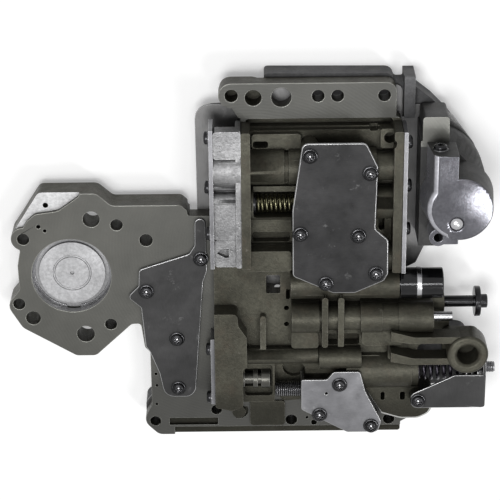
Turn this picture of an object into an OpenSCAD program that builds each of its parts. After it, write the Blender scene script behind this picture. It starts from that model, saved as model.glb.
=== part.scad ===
// Transmission valve body, lying on its back.
// +X is to the right of the machined face, +Y towards the top bar, +Z out of that face.

/* [Layers] */
// Thickness of the back casting
transfer_t = 14; // [12:0.5:18]
// Thickness of the steel sheet between the castings
separator_t = 1.5; // [1:0.1:2.5]
// Thickness of the housing's deck, from the steel sheet to the machined face
deck_t = 10.5; // [9.5:0.25:13]
// Thickness of the wing below the machined face
wing_t = 18; // [15:0.5:20]
// Height of the valve floor above the machined face
floor_h = 4; // [2.5:0.25:5]
// Height of the lower left block above the machined face
block_h = 18; // [16:0.5:21]
// Height of the end walls above the machined face
wall_h = 20; // [19:0.5:24]

/* [Reach] */
// Distance of the wing's left end from the middle
wing_reach = 148; // [146:0.5:153]
// Distance of the flange's lower edge from the middle
flange_reach = 125.5; // [124:0.5:130]

/* [Accumulator] */
// Radius of the accumulator bore
acc_r = 24; // [22:0.25:26]
// Wall of the cup round the accumulator bore
acc_wall = 3.5; // [2.5:0.25:5]
// Depth of the accumulator bore below the machined face
acc_depth = 22.5; // [21:0.25:23.5]
// Height of the accumulator piston's skirt
acc_skirt = 8; // [7:0.25:9]
// Radius of the piston's raised crown
acc_crown_r = 20; // [17:0.25:20.5]
// Depth of the piston's crown below the machined face
acc_drop = 4.6; // [4:0.1:5.5]

/* [Valve bores] */
// Radius of the two large shift valve bores
shift_r = 6.5; // [5.5:0.1:7]
// Radius of the small shift valve bore
small_shift_r = 5; // [4:0.1:5.6]
// Radius of the kickdown valve bore
kick_r = 5.5; // [4.8:0.1:6.2]
// Radius of the kickdown pin
kick_pin_r = 2.9; // [2.2:0.1:3.4]
// Radius of the manual valve bore
manual_r = 4.6; // [4:0.1:5]
// Radius of the regulator valve bore
reg_r = 8; // [7:0.1:8.6]
// Radius of the throttle valve bore
throttle_r = 6; // [5:0.1:6.5]
// Radius of the bore that takes the solenoid's nose
nose_r = 5; // [4:0.1:6]
// Wall of the cast ridges round the valve bores
ridge_wall = 4; // [3:0.1:4.2]
// Height of the large shift valve bores above the machined face
shift_h = 9.5; // [8.5:0.25:10.5]
// Height of the small shift valve bore above the machined face
small_shift_h = 9; // [8:0.25:10]
// Height of the kickdown valve bore above the machined face
kick_h = 12; // [11.5:0.25:13.5]
// Depth of the manual valve bore below the machined face
manual_drop = 3.5; // [3:0.1:3.8]
// Height of the regulator valve bore above the machined face
reg_h = 1.5; // [1:0.1:2]
// Height of the throttle valve bore above the machined face
throttle_h = 6; // [5.5:0.25:8]

/* [Moving pieces] */
// Radius of the manual valve's rod
rod_r = 3.5; // [2.5:0.1:3.8]
// Radius of the manual valve's disc
disc_r = 9.3; // [7:0.1:10]
// Thickness of the manual valve's disc
disc_t = 3.6; // [2.5:0.1:5]
// Radius of the solenoid's body
solenoid_r = 9.3; // [7.5:0.1:9.6]
// Length of the solenoid's body
solenoid_len = 25.5; // [18:0.5:30]
// Radius of the throttle screw
stud_r = 4.8; // [3.5:0.1:5.2]
// Radius of the line pressure screw
line_screw_r = 3.5; // [2.5:0.1:4.5]

/* [Sheet parts] */
// Thickness of the cover plates
cover_t = 1.8; // [1.2:0.1:2.5]
// Thickness of the end plates
end_plate_t = 2.4; // [1.5:0.1:3.2]
// Thickness of the regulator bracket
bracket_t = 1.8; // [1.2:0.1:2.6]
// Thickness of the throttle bracket
throttle_bracket_t = 1.8; // [1.2:0.1:2.6]
// Height of the centre cover plate's seat above the machined face
centre_seat_h = 22; // [21.5:0.25:26]
// Height of the throttle bracket's seat above the machined face
throttle_seat_h = 15; // [14:0.25:17]
// Height of the regulator bracket's seat above the machined face
reg_seat_h = 13; // [13:0.25:15]

/* [Lever boss] */
// Radius of the lever-shaft boss
boss_r = 12.4; // [11:0.1:13]
// Radius of the lever-shaft bore
boss_bore_r = 6.3; // [4.5:0.1:7.5]
// Height of the boss's face above the machined face
boss_h = 26; // [24:0.25:29]
// Length of the boss
boss_len = 16; // [12:0.25:18]

/* [Governor] */
// Height of the governor housing's lower step above the steel sheet
gov_step_1 = 12; // [8:0.5:16]
// Height of the governor housing's upper step above the steel sheet
gov_step_2 = 25; // [20:0.5:30]
// Height of the bright cover above the upper step
gov_cover_h = 23; // [16:0.5:26]
// Radius of the bright cover's round end
gov_cover_r = 19; // [16:0.25:20]

/* [Fasteners] */
// Radius of the screw shanks
screw_r = 2.4; // [1.8:0.1:2.6]
// Radius of the screw heads
head_r = 3.9; // [3.3:0.1:4.2]
// Height of the screw heads
head_h = 3; // [2:0.1:3.4]
// Radius of the case bolt holes
bolt_r = 3.6; // [3.2:0.05:4]

/* [Clearances] */
// Radial clearance of the valves in their bores
valve_gap = 0.15; // [0.1:0.01:0.25]
// Radial clearance of the screws in their holes
screw_gap = 0.15; // [0.1:0.01:0.3]
// Gap between a spring or a plug and its seat
seat_gap = 0.1; // [0.05:0.01:0.25]

/* [Hidden] */
$fn = 48;

// Colours of the materials
olive = "#6f6d5f";
raw_aluminium = "#c4c4c6";
dark_cast = "#4a4a49";
steel_sheet = "#6a6a6c";
bright_steel = "#b4b4b8";
black_oxide = "#1d1d1f";
zinc_screw = "#47474a";
brass_wire = "#8d8350";
rubber = "#161616";

// Heights of the layers
z_separator = transfer_t;
z_deck = transfer_t + separator_t;
z_face = z_deck + deck_t;
z_wing = z_face - wing_t;
z_floor = z_face + floor_h;
z_block = z_face + block_h;
z_wall = z_face + wall_h;
cut = 1;

// Axes of the valve rows, as [y, z]
shift_1 = [57.5, z_face + shift_h];
shift_2 = [34.5, z_face + shift_h];
shift_3 = [-1, z_face + small_shift_h];
nose_row = [-18.5, z_face + small_shift_h];
kick_row = [-39.5, z_face + kick_h];
manual_row = [-37, z_face - manual_drop];
reg_row = [-79.5, z_face + reg_h];
throttle_row = [-83.5, z_face + throttle_h];

// Ends of the valve rows
row_left = -4.8;
row_right = 89.5;
low_left = -22;
kick_end = 109.6;
manual_end = kick_end + 7.9;
reg_end = 102;
throttle_bore_end = 12;
blind_bore = 60;
manual_bore_start = 20;
manual_guide_x = kick_end - 9.6;
manual_guide_wall = 2.2;

// Ridges along X, as [start, end, cut from the ridge's radius]
shift_1_steps = [[row_left + cut, 20.4, 0], [20.4, 23, 1.6], [23, 74, 0], [74, row_right - cut, 2]];
kick_steps = [[24.5, 41.2, 0], [41.2, 66, 1.8], [66, 79, 0], [79, 88.8, 0.7], [88.8, kick_end, 0]];
reg_steps = [[blind_bore - 2, reg_end - 4, 0], [reg_end - 4, reg_end, 1]];
ridge_draft = 0.6;
shift_2_cut = 0.5;
shift_3_cut = 1;
reg_extra = 0.2;
nose_ridge_x = 24;

// Lands of the valves along X, as [start, end]
shift_1_lands = [[row_left + seat_gap, 12], [20, 30], [36, 46]];
shift_2_lands = [[46, 58], [66, 76], [80, row_right - seat_gap]];
shift_3_lands = [[row_left + seat_gap, 14], [24, 40], [46, 54]];
kick_lands = [[74, 84], [90, 98]];
manual_lands = [[40, 56], [64, 78], [88, 104]];
throttle_lands = [[-12, -4], [1, 4], [6, throttle_bore_end - 0.5]];
reg_lands = [[blind_bore + 0.3, 70], [78, 88], [92, 100]];
stem_share = 0.6;

// Ends of the other pieces on those axes
plug_end = 3.6;
kick_pin_end = kick_end + 11.9;
manual_disc_x = 136;
manual_tip = 144;
manual_tip_r = rod_r + 0.7;
reg_spring_end = 136;
reg_seat_t = 2.4;
line_screw_end = 149.5;
nose_start = 76;
solenoid_x = row_right + 0.3;
band_x = solenoid_x + 9.5;
band_w = 3;
band_depth = 0.8;

// Accumulator's axis, from which the wing's edge and holes are measured
acc_inset = 40.2;
acc_at = [acc_inset - wing_reach, -15.9];
function from_acc(list) = [for (p = list) [acc_at[0] + p[0], acc_at[1] + p[1], p[2]]];
wing_edge = [[12.8, -53.9, 5], [0.8, -53.9, 5], [-31.2, -34.6, 8], [-40.2, -19.1, 7], [-31.8, -9.1, 4],
    [-32.2, 6.9, 6], [-30.2, 16.9, 3], [-35.4, 25.9, 5], [-17.7, 53.5, 4], [16.8, 53.5, 6], [25.8, 45.5, 5]];

// Outline of the housing's deck: x, y, corner radius
flange_low = -flange_reach;
flange_right = 92.6;
bolt_line = flange_low + 9.5;
base_right = 112;
base_gap = 2.5;
base_top_y = reg_row[0] - reg_r - base_gap;
base_corner_y = base_top_y - 4;
base_low = min(flange_low + 13, base_top_y - 21.5);
deck_outline = concat(
    [[row_left, 84, 0], [row_right, 84, 3], [row_right, -25, 3], [kick_end, -28, 4], [kick_end, -47, 1],
        [kick_end + 11.4, -47, 2], [kick_end + 11.4, -58, 2], [kick_end, -60, 3], [reg_end, -66, 3],
        [reg_end, base_top_y, 0], [base_right, base_corner_y, 5], [base_right, base_low + 2.5, 8],
        [96, bolt_line, 4], [flange_right, flange_low + 7.5, 1], [flange_right, flange_low, 1.5],
        [-58, flange_low, 6], [-67.4, bolt_line, 7], [-61.8, flange_low + 21.5, 3], [-61.8, -68, 2],
        [-65, -64.5, 3], [-67, -48.6, 2], [-72.5, -48.6, 4]],
    from_acc(wing_edge),
    [[-41, 29.6, 4], [-37.2, 26, 2], [-37.2, 22.5, 2], [row_left, 22.5, 0]]);
wing_right = -36;
wing_low = -62;
bar_left = [-10, 97.8];
bar_r = 7.6;
bar_right = 86.2;
bar_low = 84;
bar_corner_x = -6;
heel_right = 8.6;
heel_y = 91;
heel_inset = 0.4;
heel_low = z_separator - 2;
heel_gap = 0.6;
far = 400;

// Case bolt holes through the wing, and their radii
wing_holes = concat([[-62.2, 7.1, 3.9]],
    from_acc([[-27.9, 24.3, bolt_r], [-32.6, -18.4, bolt_r], [28.3, 33.1, bolt_r], [22.6, -32.7, bolt_r],
        [-24.5, -27.9, 4.4], [13.3, 36.9, 5], [7, -39.1, 5.3], [-18.4, 32.4, 1.2], [-14.7, 29.7, 1]]));
// Case bolt holes through the bar and the flange, which pass through every layer
stack_holes = [[40.5, 97.3, bolt_r], [51.8, 97.3, bolt_r], [79, 97.3, bolt_r], [24.7, bolt_line, bolt_r],
    [85.3, bolt_line, bolt_r], [-21.8, flange_low + 17.1, 3.3], [-60, bolt_line, 3.3]];
bar_holes = [[-10, 97.8, 3.75], [2.7, 96.5, 4.8], [19.1, 96.7, 5.8]];
pin_holes = [[38.8, flange_low + 7.5, 1.8], [34.4, flange_low + 11, 0.9], [-58.8, -83, 0.9], [-58.4, -91, 0.9],
    [-58.8, flange_low + 21.5, 0.9]];
pin_hole_depth = 5;

// Raised floor under the valve rows, and the lower left block: x, y, corner radius
floor_outline = [[row_left, 78, 2], [row_right, 78, 2], [row_right, -27, 2], [kick_end, -29, 3],
    [kick_end, -48, 3], [88, -64, 4], [67, -76, 3], [30, -76, 3], [14, -72, 3], [low_left, -72, 0],
    [low_left, -5, 0], [row_left, -5, 0]];
block_outline = [[low_left, -34.3, 0], [-8, -34.3, 3], [-7.6, -42, 2], [-2.6, -50, 2], [-2.4, -70, 0],
    [-5, -72, 1], [-5, -97, 2], [-12, -100, 3], [low_left, -97.5, 2]];
// Base under the regulator bracket, with a rounded lower corner
base_inset = 0.6;
base_outline = [[70, base_top_y, 0], [reg_end, base_top_y, 0], [base_right - base_inset, base_corner_y, 5],
    [base_right - base_inset, base_low + 4.5, 7], [103, base_low, 10], [92, base_low, 12],
    [79.5, base_low + 3.9, 3]];
base_h = 7;
// Raised blocks on the deck: x0, y0, x1, y1, top, corner radius
stud_left = 14.8;
stud_right = 37;
stud_gap = 0.5;
raised_blocks = [[row_left, -4, 0.6, 82, z_wall, 1], [84, -7, row_right, 82, z_wall, 1],
    [low_left + cut, -98.5, stud_left - stud_gap, -70, z_face + 9, 2], [67, -57.5, 92, -46, z_face + 15, 3],
    [30, -80, 80, -68, z_face + 7, 3], [5.6, -65, 9.2, -40, z_floor + 5, 1.7],
    [1.5, 67, 30.4, 77, z_floor + 4, 2], [76.5, 68, 86, 80, z_floor + 5, 1.5],
    [83, -68, 92, -55, z_face + 13, 2], [24.5, -61.4, 41, -44, z_face + 10, 2],
    [-4, -6.5, 24.3, 6.6, z_face + 17.4, 1.5], [kick_end - 2, -38, kick_end + 7.3, -30.6, z_face + 4, 1],
    [-1, flange_low + 6.5, 20.7, flange_low + 23.6, z_face + 1.5, 2]];
// Round boss and its arc-shaped groove on the flange
flange_boss = [-7.9, flange_low + 16.6];
flange_boss_r = 4.2;
flange_boss_h = 2.5;
flange_groove_w = 1.6;
flange_groove_box = [[-2, -9], [9, 2.5]];
// Port behind the window, through the sheet and the back casting: x0, y0, x1, y1, corner radius
port = [14.6, -39, 18.6, -28, 1.5];
// Pockets in the housing: x0, y0, x1, y1, bottom, top, corner radius
pocket_top = z_wall + 4;
housing_pocket_list = [[-2, 79, 84, 83.5, z_face - 6, z_face + cut, 2],
    [2.2, shift_2[0] - shift_r + 0.2, blind_bore, shift_1[0] - shift_r - ridge_wall - 0.6, shift_2[1] - 1.5,
        pocket_top, 2],
    [1.5, 7.2, 24, 13.4, z_face - 2, pocket_top, 1.5], [9.5, -27, 18, -15, z_deck - cut, pocket_top, 1],
    [21.5, -31, 23.8, -24.2, z_deck + 2, pocket_top, 0.8], [46.5, -62, 66, -54.5, z_face - 4, pocket_top, 1.5],
    [-4, -94, 13, -72.8, throttle_row[1] - 1, pocket_top, 2], [76.5, 14, 80, 26, z_face - 2, pocket_top, 1.6],
    [2.4, 68.5, 11.1, 72.6, z_face - 2, pocket_top, 1.5], [79.5, -99, 82, -93.5, z_face - 5, pocket_top, 1],
    [91.5, -99, 94.5, -93.5, z_face - 5, pocket_top, 1], [70.5, 77, 75.5, 81, z_face - 3, pocket_top, 1],
    [port[0], port[3] - 6, port[2], port[3] + 2, z_deck - cut, z_face - 5, 1]];
// Round pockets: x, y, radius, bottom
round_pockets = [[21.7, -36.9, 1.5, z_face - 2], [21.7, -47.7, 1.5, z_face - 2], [82, 74.5, 3.4, z_face - 2],
    [26.3, -78.5, 7, z_face - 4]];
// Trough in the flange and hollow under the left cover: x, y, corner radius
trough_outline = [[-57, flange_low + 6.4, 1], [-28, flange_low + 6.8, 1], [-28, flange_low + 12, 1],
    [-57, flange_low + 11.4, 1]];
trough_depth = 4;
flange_step = [-48, 5.2, 2.5];
hollow_outline = [[-52, -84, 5], [-40, -84, 5], [-38, -32, 5], [-52, -24, 5]];
hollow_depth = 6;
// As-cast corner of the wing, lower than the machined face
cast_outline = from_acc([[6.8, 60.9, 0], [6.8, 51.9, 3], [-6.2, 42.4, 8], [-20.2, 40.4, 5], [-25.2, 35.9, 4],
    [-32.2, 23.9, 0], [-52.2, 35.9, 0], [-42.2, 60.9, 0]]);
cast_drop = 2.5;
// Fins across the kickdown ridge
fin_x = [42.6, 52.2];
fin_w = 3.6;
fin_y = [-55, -22];
fin_h = 0.6;
fin_corner = 1.6;
// Plain ridges in front of the kickdown row, as [y, z]
pipe_1 = [-67.3, z_face + 6.5];
pipe_1_x = [-13, 41];
pipe_1_r = 5.5;
pipe_2 = [-68.5, z_face + 9];
pipe_2_x = [41.4, 67];
pipe_2_r = 6.5;

// Accumulator in the wing
acc_floor_z = z_face - acc_depth;
acc_crown_z = z_face - acc_drop;
acc_crown_h = 2.4;
acc_body_z = acc_crown_z - acc_crown_h - acc_skirt;
snap_z = acc_crown_z - acc_crown_h + seat_gap;
snap_t = 1.2;
snap_depth = 1;
snap_w = 2.6;
seal_t = 2.4;
seal_z = acc_body_z + 3;
seal_groove = 2;
seal_gap = 0.05;
snap_open = 8;
acc_ring_r = 11;
acc_ring_groove = 0.8;
acc_dimple_r = 1.3;
acc_dimple_h = 1.2;
acc_hollow_r = 16;
acc_hollow_h = 3;
acc_coil = [13.5, 0.9, 2, 20];

// Cover plate outlines: x, y, corner radius
left_cover_outline = [[-32.9, 21.4, 3.2], [-26.4, 21.4, 3.2], [-26, -13, 3], [-28.4, -20, 3],
    [-34.2, -93, 3], [-37, -98.2, 6], [-53.5, -98.2, 7], [-56.5, -82, 3], [-62, -67, 2], [-64.5, -63, 3],
    [-66.5, -37, 2], [-73.5, -30.5, 2], [-73, -28, 2], [-67.6, -22.5, 1], [-67, -11.6, 3], [-36.5, -1.5, 4],
    [-33.2, 4, 3]];
left_cover_screw_at = [[-29.6, -4.7], [-62.9, -25.9], [-45.2, -58.1], [-45, -91.9]];
centre_cover_outline = [[30.6, 76.9, 4], [67.5, 76.9, 4], [74.6, 62, 3], [73.6, 23, 3], [81.2, 16, 3],
    [81.5, -6, 4], [79, -10.5, 4], [62, -18.2, 5], [49, -18.2, 4], [25, -7, 3], [24.8, 35, 2]];
centre_screw_at = [[35.1, 69.3], [70, 58.2], [29.6, 20.3], [63.6, 18.9], [44.7, -11.6], [74.3, -5.5]];
throttle_plate_left = 30.4;
throttle_outline = [[throttle_plate_left, -79.6, 1], [46, -79.6, 2], [50, -74.4, 3], [66.2, -74.4, 2],
    [69.5, -88, 4], [79.5, -108.5, 2], [77.5, -116, 3], [58.6, -116, 3], [throttle_plate_left, -100, 2]];
throttle_screw_at = [[53.7, -82.9], [41.6, -103.5], [73.2, -111.5]];
throttle_flange_y = [-99, -81];
throttle_flange_low = z_face + 1;
throttle_pin = [45.7, -89, 0.8];
stud_at = [-90, z_face + 8];

// Regulator bracket
bracket_right = 143;
bracket_outline = [[bracket_right, -78.5, 1.5], [124, -78.5, 1], [97.5, -91.5, 3.5], [97.5, -100.8, 4],
    [bracket_right, -100.8, 1.5]];
bracket_screw_at = [102, -95.5];
bracket_flange_low = z_deck + 2;
bracket_flange_y = [-98.8, -70.5];

// Lever-shaft boss and its two arms
boss_at = [130.2, -59.5];
z_boss = z_face + boss_h;
z_arm = z_boss - 2;
z_arm_low = z_boss - boss_len + 2;
arm_w = 4.2;
arm_root = 84;
arm_high_y = -48;
arm_low_y = -66.3;
arm_bend = 98;
arm_root_y = [-44, -58];
arm_curve = 12;
arm_taper = 2;
boss_chamfer = 1.2;
boss_sink = 1.6;
// Tongue under the boss
tongue_x = [116, 139.1];
tongue_y = [-67, -51];
tongue_low = z_face + 2;
tongue_corner = 5;

// Screw bosses
boss_screw_r = 5.2;
screw_rest = 1;
screw_bite = 10;
end_bite = 5;
centre_bite = centre_seat_h - shift_h - shift_r - 1;
transfer_bite = 7.5;
head_gap = 0.5;

// Left end cover, end plates and their screws
end_cover_left = -21;
end_cover_y = [-3.5, 83];
end_cover_low = z_face + 0.6;
// Blocks of the end cover along Y: y0, y1, bottom, top, corner radius
end_cover_blocks = [[24, 70, z_deck, z_face + 6, 2],
    [end_cover_y[0], 70, end_cover_low, z_face + 12, 1],
    [66, end_cover_y[1], z_wall - 9, z_wall, 2], [14.5, 38, z_face, z_wall - 2, 1],
    [end_cover_y[0], 14, end_cover_low, z_wall - 3, 2]];
// Rounded ribs of the end cover: y, z, radius
end_cover_ribs = [[shift_1[0], shift_1[1], shift_r + 5], [46.5, z_face + 12, 3], [38.5, z_wall - 6, 4.4]];
end_cover_lip_x = row_left - 3.2;
end_cover_recess = [[-19.6, 5.5, 0.4], [-16.5, 8.6, 0.4], [-12.5, 8.6, 0.4], [-12.5, 2.6, 0.4],
    [-14.8, 2.6, 0.4]];
end_cover_recess_z = z_wall - 6;
end_plate_y = [-3, 84];
end_plate_z = [z_face + 0.6, z_wall + 1];
left_screw_at = [[78, z_wall - 4.8], [46, z_face + 12], [16, z_face + 11]];
right_screw_at = [[73, z_face + 12], [46, z_face + 12], [18, z_face + 11]];
right_plate_y = [-7, 82];
low_plate_y = [-96, -52];
low_plate_top = z_block - 2;
low_screw_at = [[-62, z_face + 8], [-93.4, z_face + 11]];

// Transfer plate
transfer_low = flange_low + 3.5;
transfer_outline = [[heel_right + heel_gap, 107.5, 2], [85, 106.8, 5], [85.5, 101, 2], [91, 101, 1],
    [91, 106.5, 1], [97.5, 106.5, 1], [97.5, 99, 1], [108, 90.5, 2], [118, 80, 8], [131, 62, 14], [134, 40, 14],
    [120, 12, 8], [107, 3, 3], [100, -14, 3], [87, -18, 4], [104, -34, 4], [104, -56, 4], [134, -62, 6],
    [134, -96, 5], [90, -100, 4], [90, transfer_low, 4],
    [-66, transfer_low, 5], [-66, transfer_low + 14, 4], [-58, transfer_low + 22, 3], [-58, -68, 4],
    [-33, -64, 4], [-28, 26, 6], [-28, 84, 6], [heel_right + heel_gap, 86, 3]];
rib_x = [91, 97.5];
rib_y = [81, 106.5];
rib_gap = 0.4;
rib_top = z_deck + 4.5;
// Screw from behind into the governor housing's lug
gov_screw_at = [108, 82];
transfer_screw_at = [[12, 89], [72, 89], [12, 14], [76, 14], [79, -29], [12, -56],
    [-44, flange_low + 17.5], [57, -98], gov_screw_at];
transfer_pockets = [[-22, 34, 24, 74], [12, 30, 66, 76], [16, -26, 64, 4], [-20, -48, 2, -4],
    [20, -86, 46, -44], [-50, -96, 2, -68], [96, 22, 120, 62]];
pocket_depth = 7;
pocket_r = 5;
ball_at = [[24, 68], [52, 68], [32, -34], [4, -84]];
ball_r = 3.2;
ball_gap = 0.4;
ball_pocket = 7;

// Separator plate
separator_low = flange_low + 2;
separator_outline = [[-31.8, 89, 9], [heel_right + heel_gap, 89, 0], [heel_right + heel_gap, 100.2, 2],
    [90.4, 100.2, 4], [90.4, 88, 0], [109, 88, 2], [120, 81, 8], [134, 62, 14], [138, 40, 14], [122, 10, 8],
    [107.6, 2.5, 2], [100.5, -14, 2], [89, -20, 4],
    [106, -32, 4], [106, -58, 4], [96, -66, 4], [91, -72, 2], [91, separator_low, 3], [-66, separator_low, 5],
    [-66, separator_low + 15.5, 4], [-60, separator_low + 23.5, 3], [-60, -66, 3], [-35, -63, 3],
    [-31.4, 20, 1]];

// Governor housing
gov_at = [100, 40];
gov_left = 99.5;
gov_r1 = 40;
gov_r2 = 34;
gov_y = [8, 82];
gov_lug = [100.5, 70.7, 116, 89];
z_gov = z_deck;
z_gov_2 = z_gov + gov_step_2;
z_gov_top = z_gov_2 + gov_cover_h;
cover_at = [121.2, 40.5];
cover_draft = 2.6;
neck_x = [105.6, 119.8];
neck_top_y = 73.5;
lug_at = [109.6, 20.5];
lug_r = 5.4;
lug_drop = 6;
gov_pin_at = [119.4, 31.6];
gov_pin_r = 3.8;
gov_pin_bite = 4;
// Screw in the end wall of the bright cover's neck: x, z
neck_screw = [109.8, z_gov_2 + 11.5];

// Sides of the springs' wire
wire_sides = 6;
// Springs along X: gap from the bore to the wire's middle, wire radius, turns, steps a turn
shift_1_coil = [1.6, 0.8, 8, 12];
shift_2_coil = [1.3, 0.75, 16, 14];
shift_3_coil = [1.4, 0.7, 8, 12];
kick_coil = [1.5, 0.6, 5, 12];
throttle_coil = [1.6, 0.7, 4, 12];
reg_coil = [1.2, 1.1, 8, 14];

// Unit vector
function unit(v) = v / norm(v);

// Points of one rounded corner
function corner(a, b, c, n) =
    b[2] <= 0 ? [[b[0], b[1]]] :
    let (
        p = [b[0], b[1]],
        u = unit([a[0], a[1]] - p),
        v = unit([c[0], c[1]] - p),
        half = acos(max(-1, min(1, u * v))) / 2,
        m = p + unit(u + v) * b[2] / sin(half),
        s = p + u * b[2] / tan(half) - m,
        e = p + v * b[2] / tan(half) - m,
        a0 = atan2(s[1], s[0]),
        sweep = (atan2(e[1], e[0]) - a0 + 540) % 360 - 180
    )
    [for (i = [0:n]) m + b[2] * [cos(a0 + sweep * i / n), sin(a0 + sweep * i / n)]];

// Points of an outline whose corners are rounded
function outline(p, n = 4) =
    [for (i = [0:len(p) - 1]) each corner(p[(i + len(p) - 1) % len(p)], p[i], p[(i + 1) % len(p)], n)];

// Flat plate with a rounded outline
module plate(points, z0, z1) {
    translate([0, 0, z0]) linear_extrude(z1 - z0) polygon(outline(points));
}

// Box between two corners
module box(a, b) {
    translate(a) cube(b - a);
}

// Box with rounded upright edges
module soft_box(x0, y0, x1, y1, z0, z1, r) {
    plate([[x0, y0, r], [x1, y0, r], [x1, y1, r], [x0, y1, r]], z0, z1);
}

// Cylinder along X on a row's axis
module x_bar(x0, x1, row, r) {
    translate([x0, row[0], row[1]]) rotate([0, 90, 0]) cylinder(h = x1 - x0, r = r);
}

// Upright cylinder
module z_bar(at, z0, z1, r) {
    translate([at[0], at[1], z0]) cylinder(h = z1 - z0, r = r);
}

// Ring along X
module x_ring(x0, x1, row, r_out, r_in) {
    difference() {
        x_bar(x0, x1, row, r_out);
        x_bar(x0 - cut, x1 + cut, row, r_in);
    }
}

// Cast ridge along X: a drum on a straight foot, kept above the steel sheet
module ridge(x0, x1, row, r) {
    foot = r - ridge_draft;
    intersection() {
        x_bar(x0, x1, row, r);
        box([x0 - cut, row[0] - r - cut, z_deck + cut / 2], [x1 + cut, row[0] + r + cut, row[1] + r + cut]);
    }
    box([x0, row[0] - foot, z_deck + cut], [x1, row[0] + foot, row[1]]);
}

// Ridge in steps, as [start, end, cut from the radius]
module stepped_ridge(steps, row, r) {
    for (s = steps) ridge(s[0], s[1], row, r - s[2]);
}

// End of the last land
function last_end(lands) = lands[len(lands) - 1][1];

// Spool turned from one bar, with lands as [start, end]
module spool(row, lands, land_r, stem_r) {
    for (land = lands) x_bar(land[0], land[1], row, land_r);
    x_bar(lands[0][0] + cut, last_end(lands) - cut, row, stem_r);
}

// Coil of round wire along Z, from 0 to length
module coil(r, wire_r, length, turns, per_turn) {
    steps = turns * per_turn;
    rise = length - 2 * wire_r;
    points = [for (i = [0:steps]) for (j = [0:wire_sides - 1])
        let (a = 360 * i / per_turn, b = 360 * j / wire_sides, d = r + wire_r * cos(b))
        [d * cos(a), d * sin(a), wire_r + rise * i / steps + wire_r * sin(b)]];
    sides = [for (i = [0:steps - 1]) for (j = [0:wire_sides - 1])
        let (k = (j + 1) % wire_sides)
        [i * wire_sides + j, (i + 1) * wire_sides + j, (i + 1) * wire_sides + k, i * wire_sides + k]];
    first = [for (j = [0:wire_sides - 1]) j];
    last = [for (j = [wire_sides - 1:-1:0]) steps * wire_sides + j];
    polyhedron(points, concat(sides, [first, last]), convexity = 8);
}

// Spring along X in a bore
module x_coil(x0, x1, row, bore_r, c) {
    translate([x0, row[0], row[1]]) rotate([0, 90, 0]) coil(bore_r - c[0], c[1], x1 - x0, c[2], c[3]);
}

// Pan-head screw pointing down, with its head's seat at z = 0
module screw(length) {
    recess_r = head_r * 0.45;
    recess_h = head_h * 0.6;
    rim = head_h * 0.35;
    difference() {
        union() {
            rotate_extrude() polygon([[0, 0], [head_r, 0], [head_r, head_h - rim], [head_r - rim, head_h],
                [0, head_h]]);
            translate([0, 0, -length]) cylinder(h = length + cut / 2, r = screw_r);
        }
        translate([0, 0, head_h - recess_h]) cylinder(h = recess_h + cut, r = recess_r, $fn = 6);
    }
}

// Screws standing on a plate
module screws_down(places, seat_z, length) {
    for (p = places) translate([p[0], p[1], seat_z]) screw(length);
}

// Screws along X whose heads face left (side -1) or right (side 1)
module screws_along(places, seat_x, length, side) {
    for (p = places) translate([seat_x, p[0], p[1]]) rotate([0, 90 * side, 0]) screw(length);
}

// Holes for those screws
module holes_down(places, z0, z1) {
    for (p = places) z_bar(p, z0, z1, screw_r + screw_gap);
}

module holes_along(places, x0, x1) {
    for (p = places) x_bar(x0, x1, p, screw_r + screw_gap);
}

// Holes listed as [x, y, radius]
module round_holes(list, z0, z1) {
    for (h = list) z_bar(h, z0, z1, h[2]);
}

module transfer_plate() {
    color(dark_cast) difference() {
        union() {
            plate(transfer_outline, 0, z_separator);
            box([rib_x[0], rib_y[0], 0], [rib_x[1], rib_y[1], rib_top]);
        }
        for (p = transfer_pockets) soft_box(p[0], p[1], p[2], p[3], -cut, pocket_depth, pocket_r);
        for (b = ball_at) z_bar(b, z_separator - ball_pocket, z_separator + cut, ball_r + ball_gap);
        round_holes(stack_holes, -cut, z_separator + cut);
        soft_box(port[0], port[1], port[2], port[3], -cut, z_separator + cut, port[4]);
        holes_down(transfer_screw_at, -cut, z_separator + cut);
        for (p = transfer_screw_at) z_bar(p, -cut, head_h + cut, head_r + head_gap);
    }
}

module separator_plate() {
    color(steel_sheet) difference() {
        plate(separator_outline, z_separator, z_deck);
        round_holes(stack_holes, z_separator - cut, z_deck + cut);
        soft_box(port[0], port[1], port[2], port[3], z_separator - cut, z_deck + cut, port[4]);
        holes_down(transfer_screw_at, z_separator - cut, z_deck + cut);
        box([rib_x[0] - rib_gap, rib_y[0] - rib_gap, z_separator - cut],
            [rib_x[1] + rib_gap, rib_y[1] + rib_gap, z_deck + cut]);
    }
}

// Deck, wing, accumulator cup, bar and flange
module housing_deck() {
    plate(deck_outline, z_deck, z_face);
    intersection() {
        plate(deck_outline, z_wing, z_deck + cut / 2);
        box([-far, wing_low, z_wing - cut], [wing_right, far, z_face]);
    }
    z_bar(acc_at, 0, z_deck, acc_r + acc_wall);
    z_bar(bar_left, z_deck, z_face, bar_r);
    plate([[bar_left[0], bar_left[1] - bar_r, 0], [bar_corner_x, bar_low, 0], [bar_right, bar_low, 0],
        [bar_right, bar_left[1] + bar_r, 6], [bar_left[0], bar_left[1] + bar_r, 0]], z_deck, z_face);
    soft_box(bar_left[0] - bar_r + heel_inset, heel_y, heel_right, bar_left[1] + bar_r - heel_inset, heel_low,
        z_deck + cut, bar_r - cut);
}

// Raised floor, end walls and blocks that carry the valve rows
module housing_blocks() {
    plate(floor_outline, z_face - cut, z_floor);
    plate(block_outline, z_face - cut, z_block);
    plate(base_outline, z_face - cut, z_face + base_h);
    for (b = raised_blocks) soft_box(b[0], b[1], b[2], b[3], z_face - cut, b[4], b[5]);
    z_bar(flange_boss, z_face - cut, z_face + flange_boss_h, flange_boss_r);
}

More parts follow.
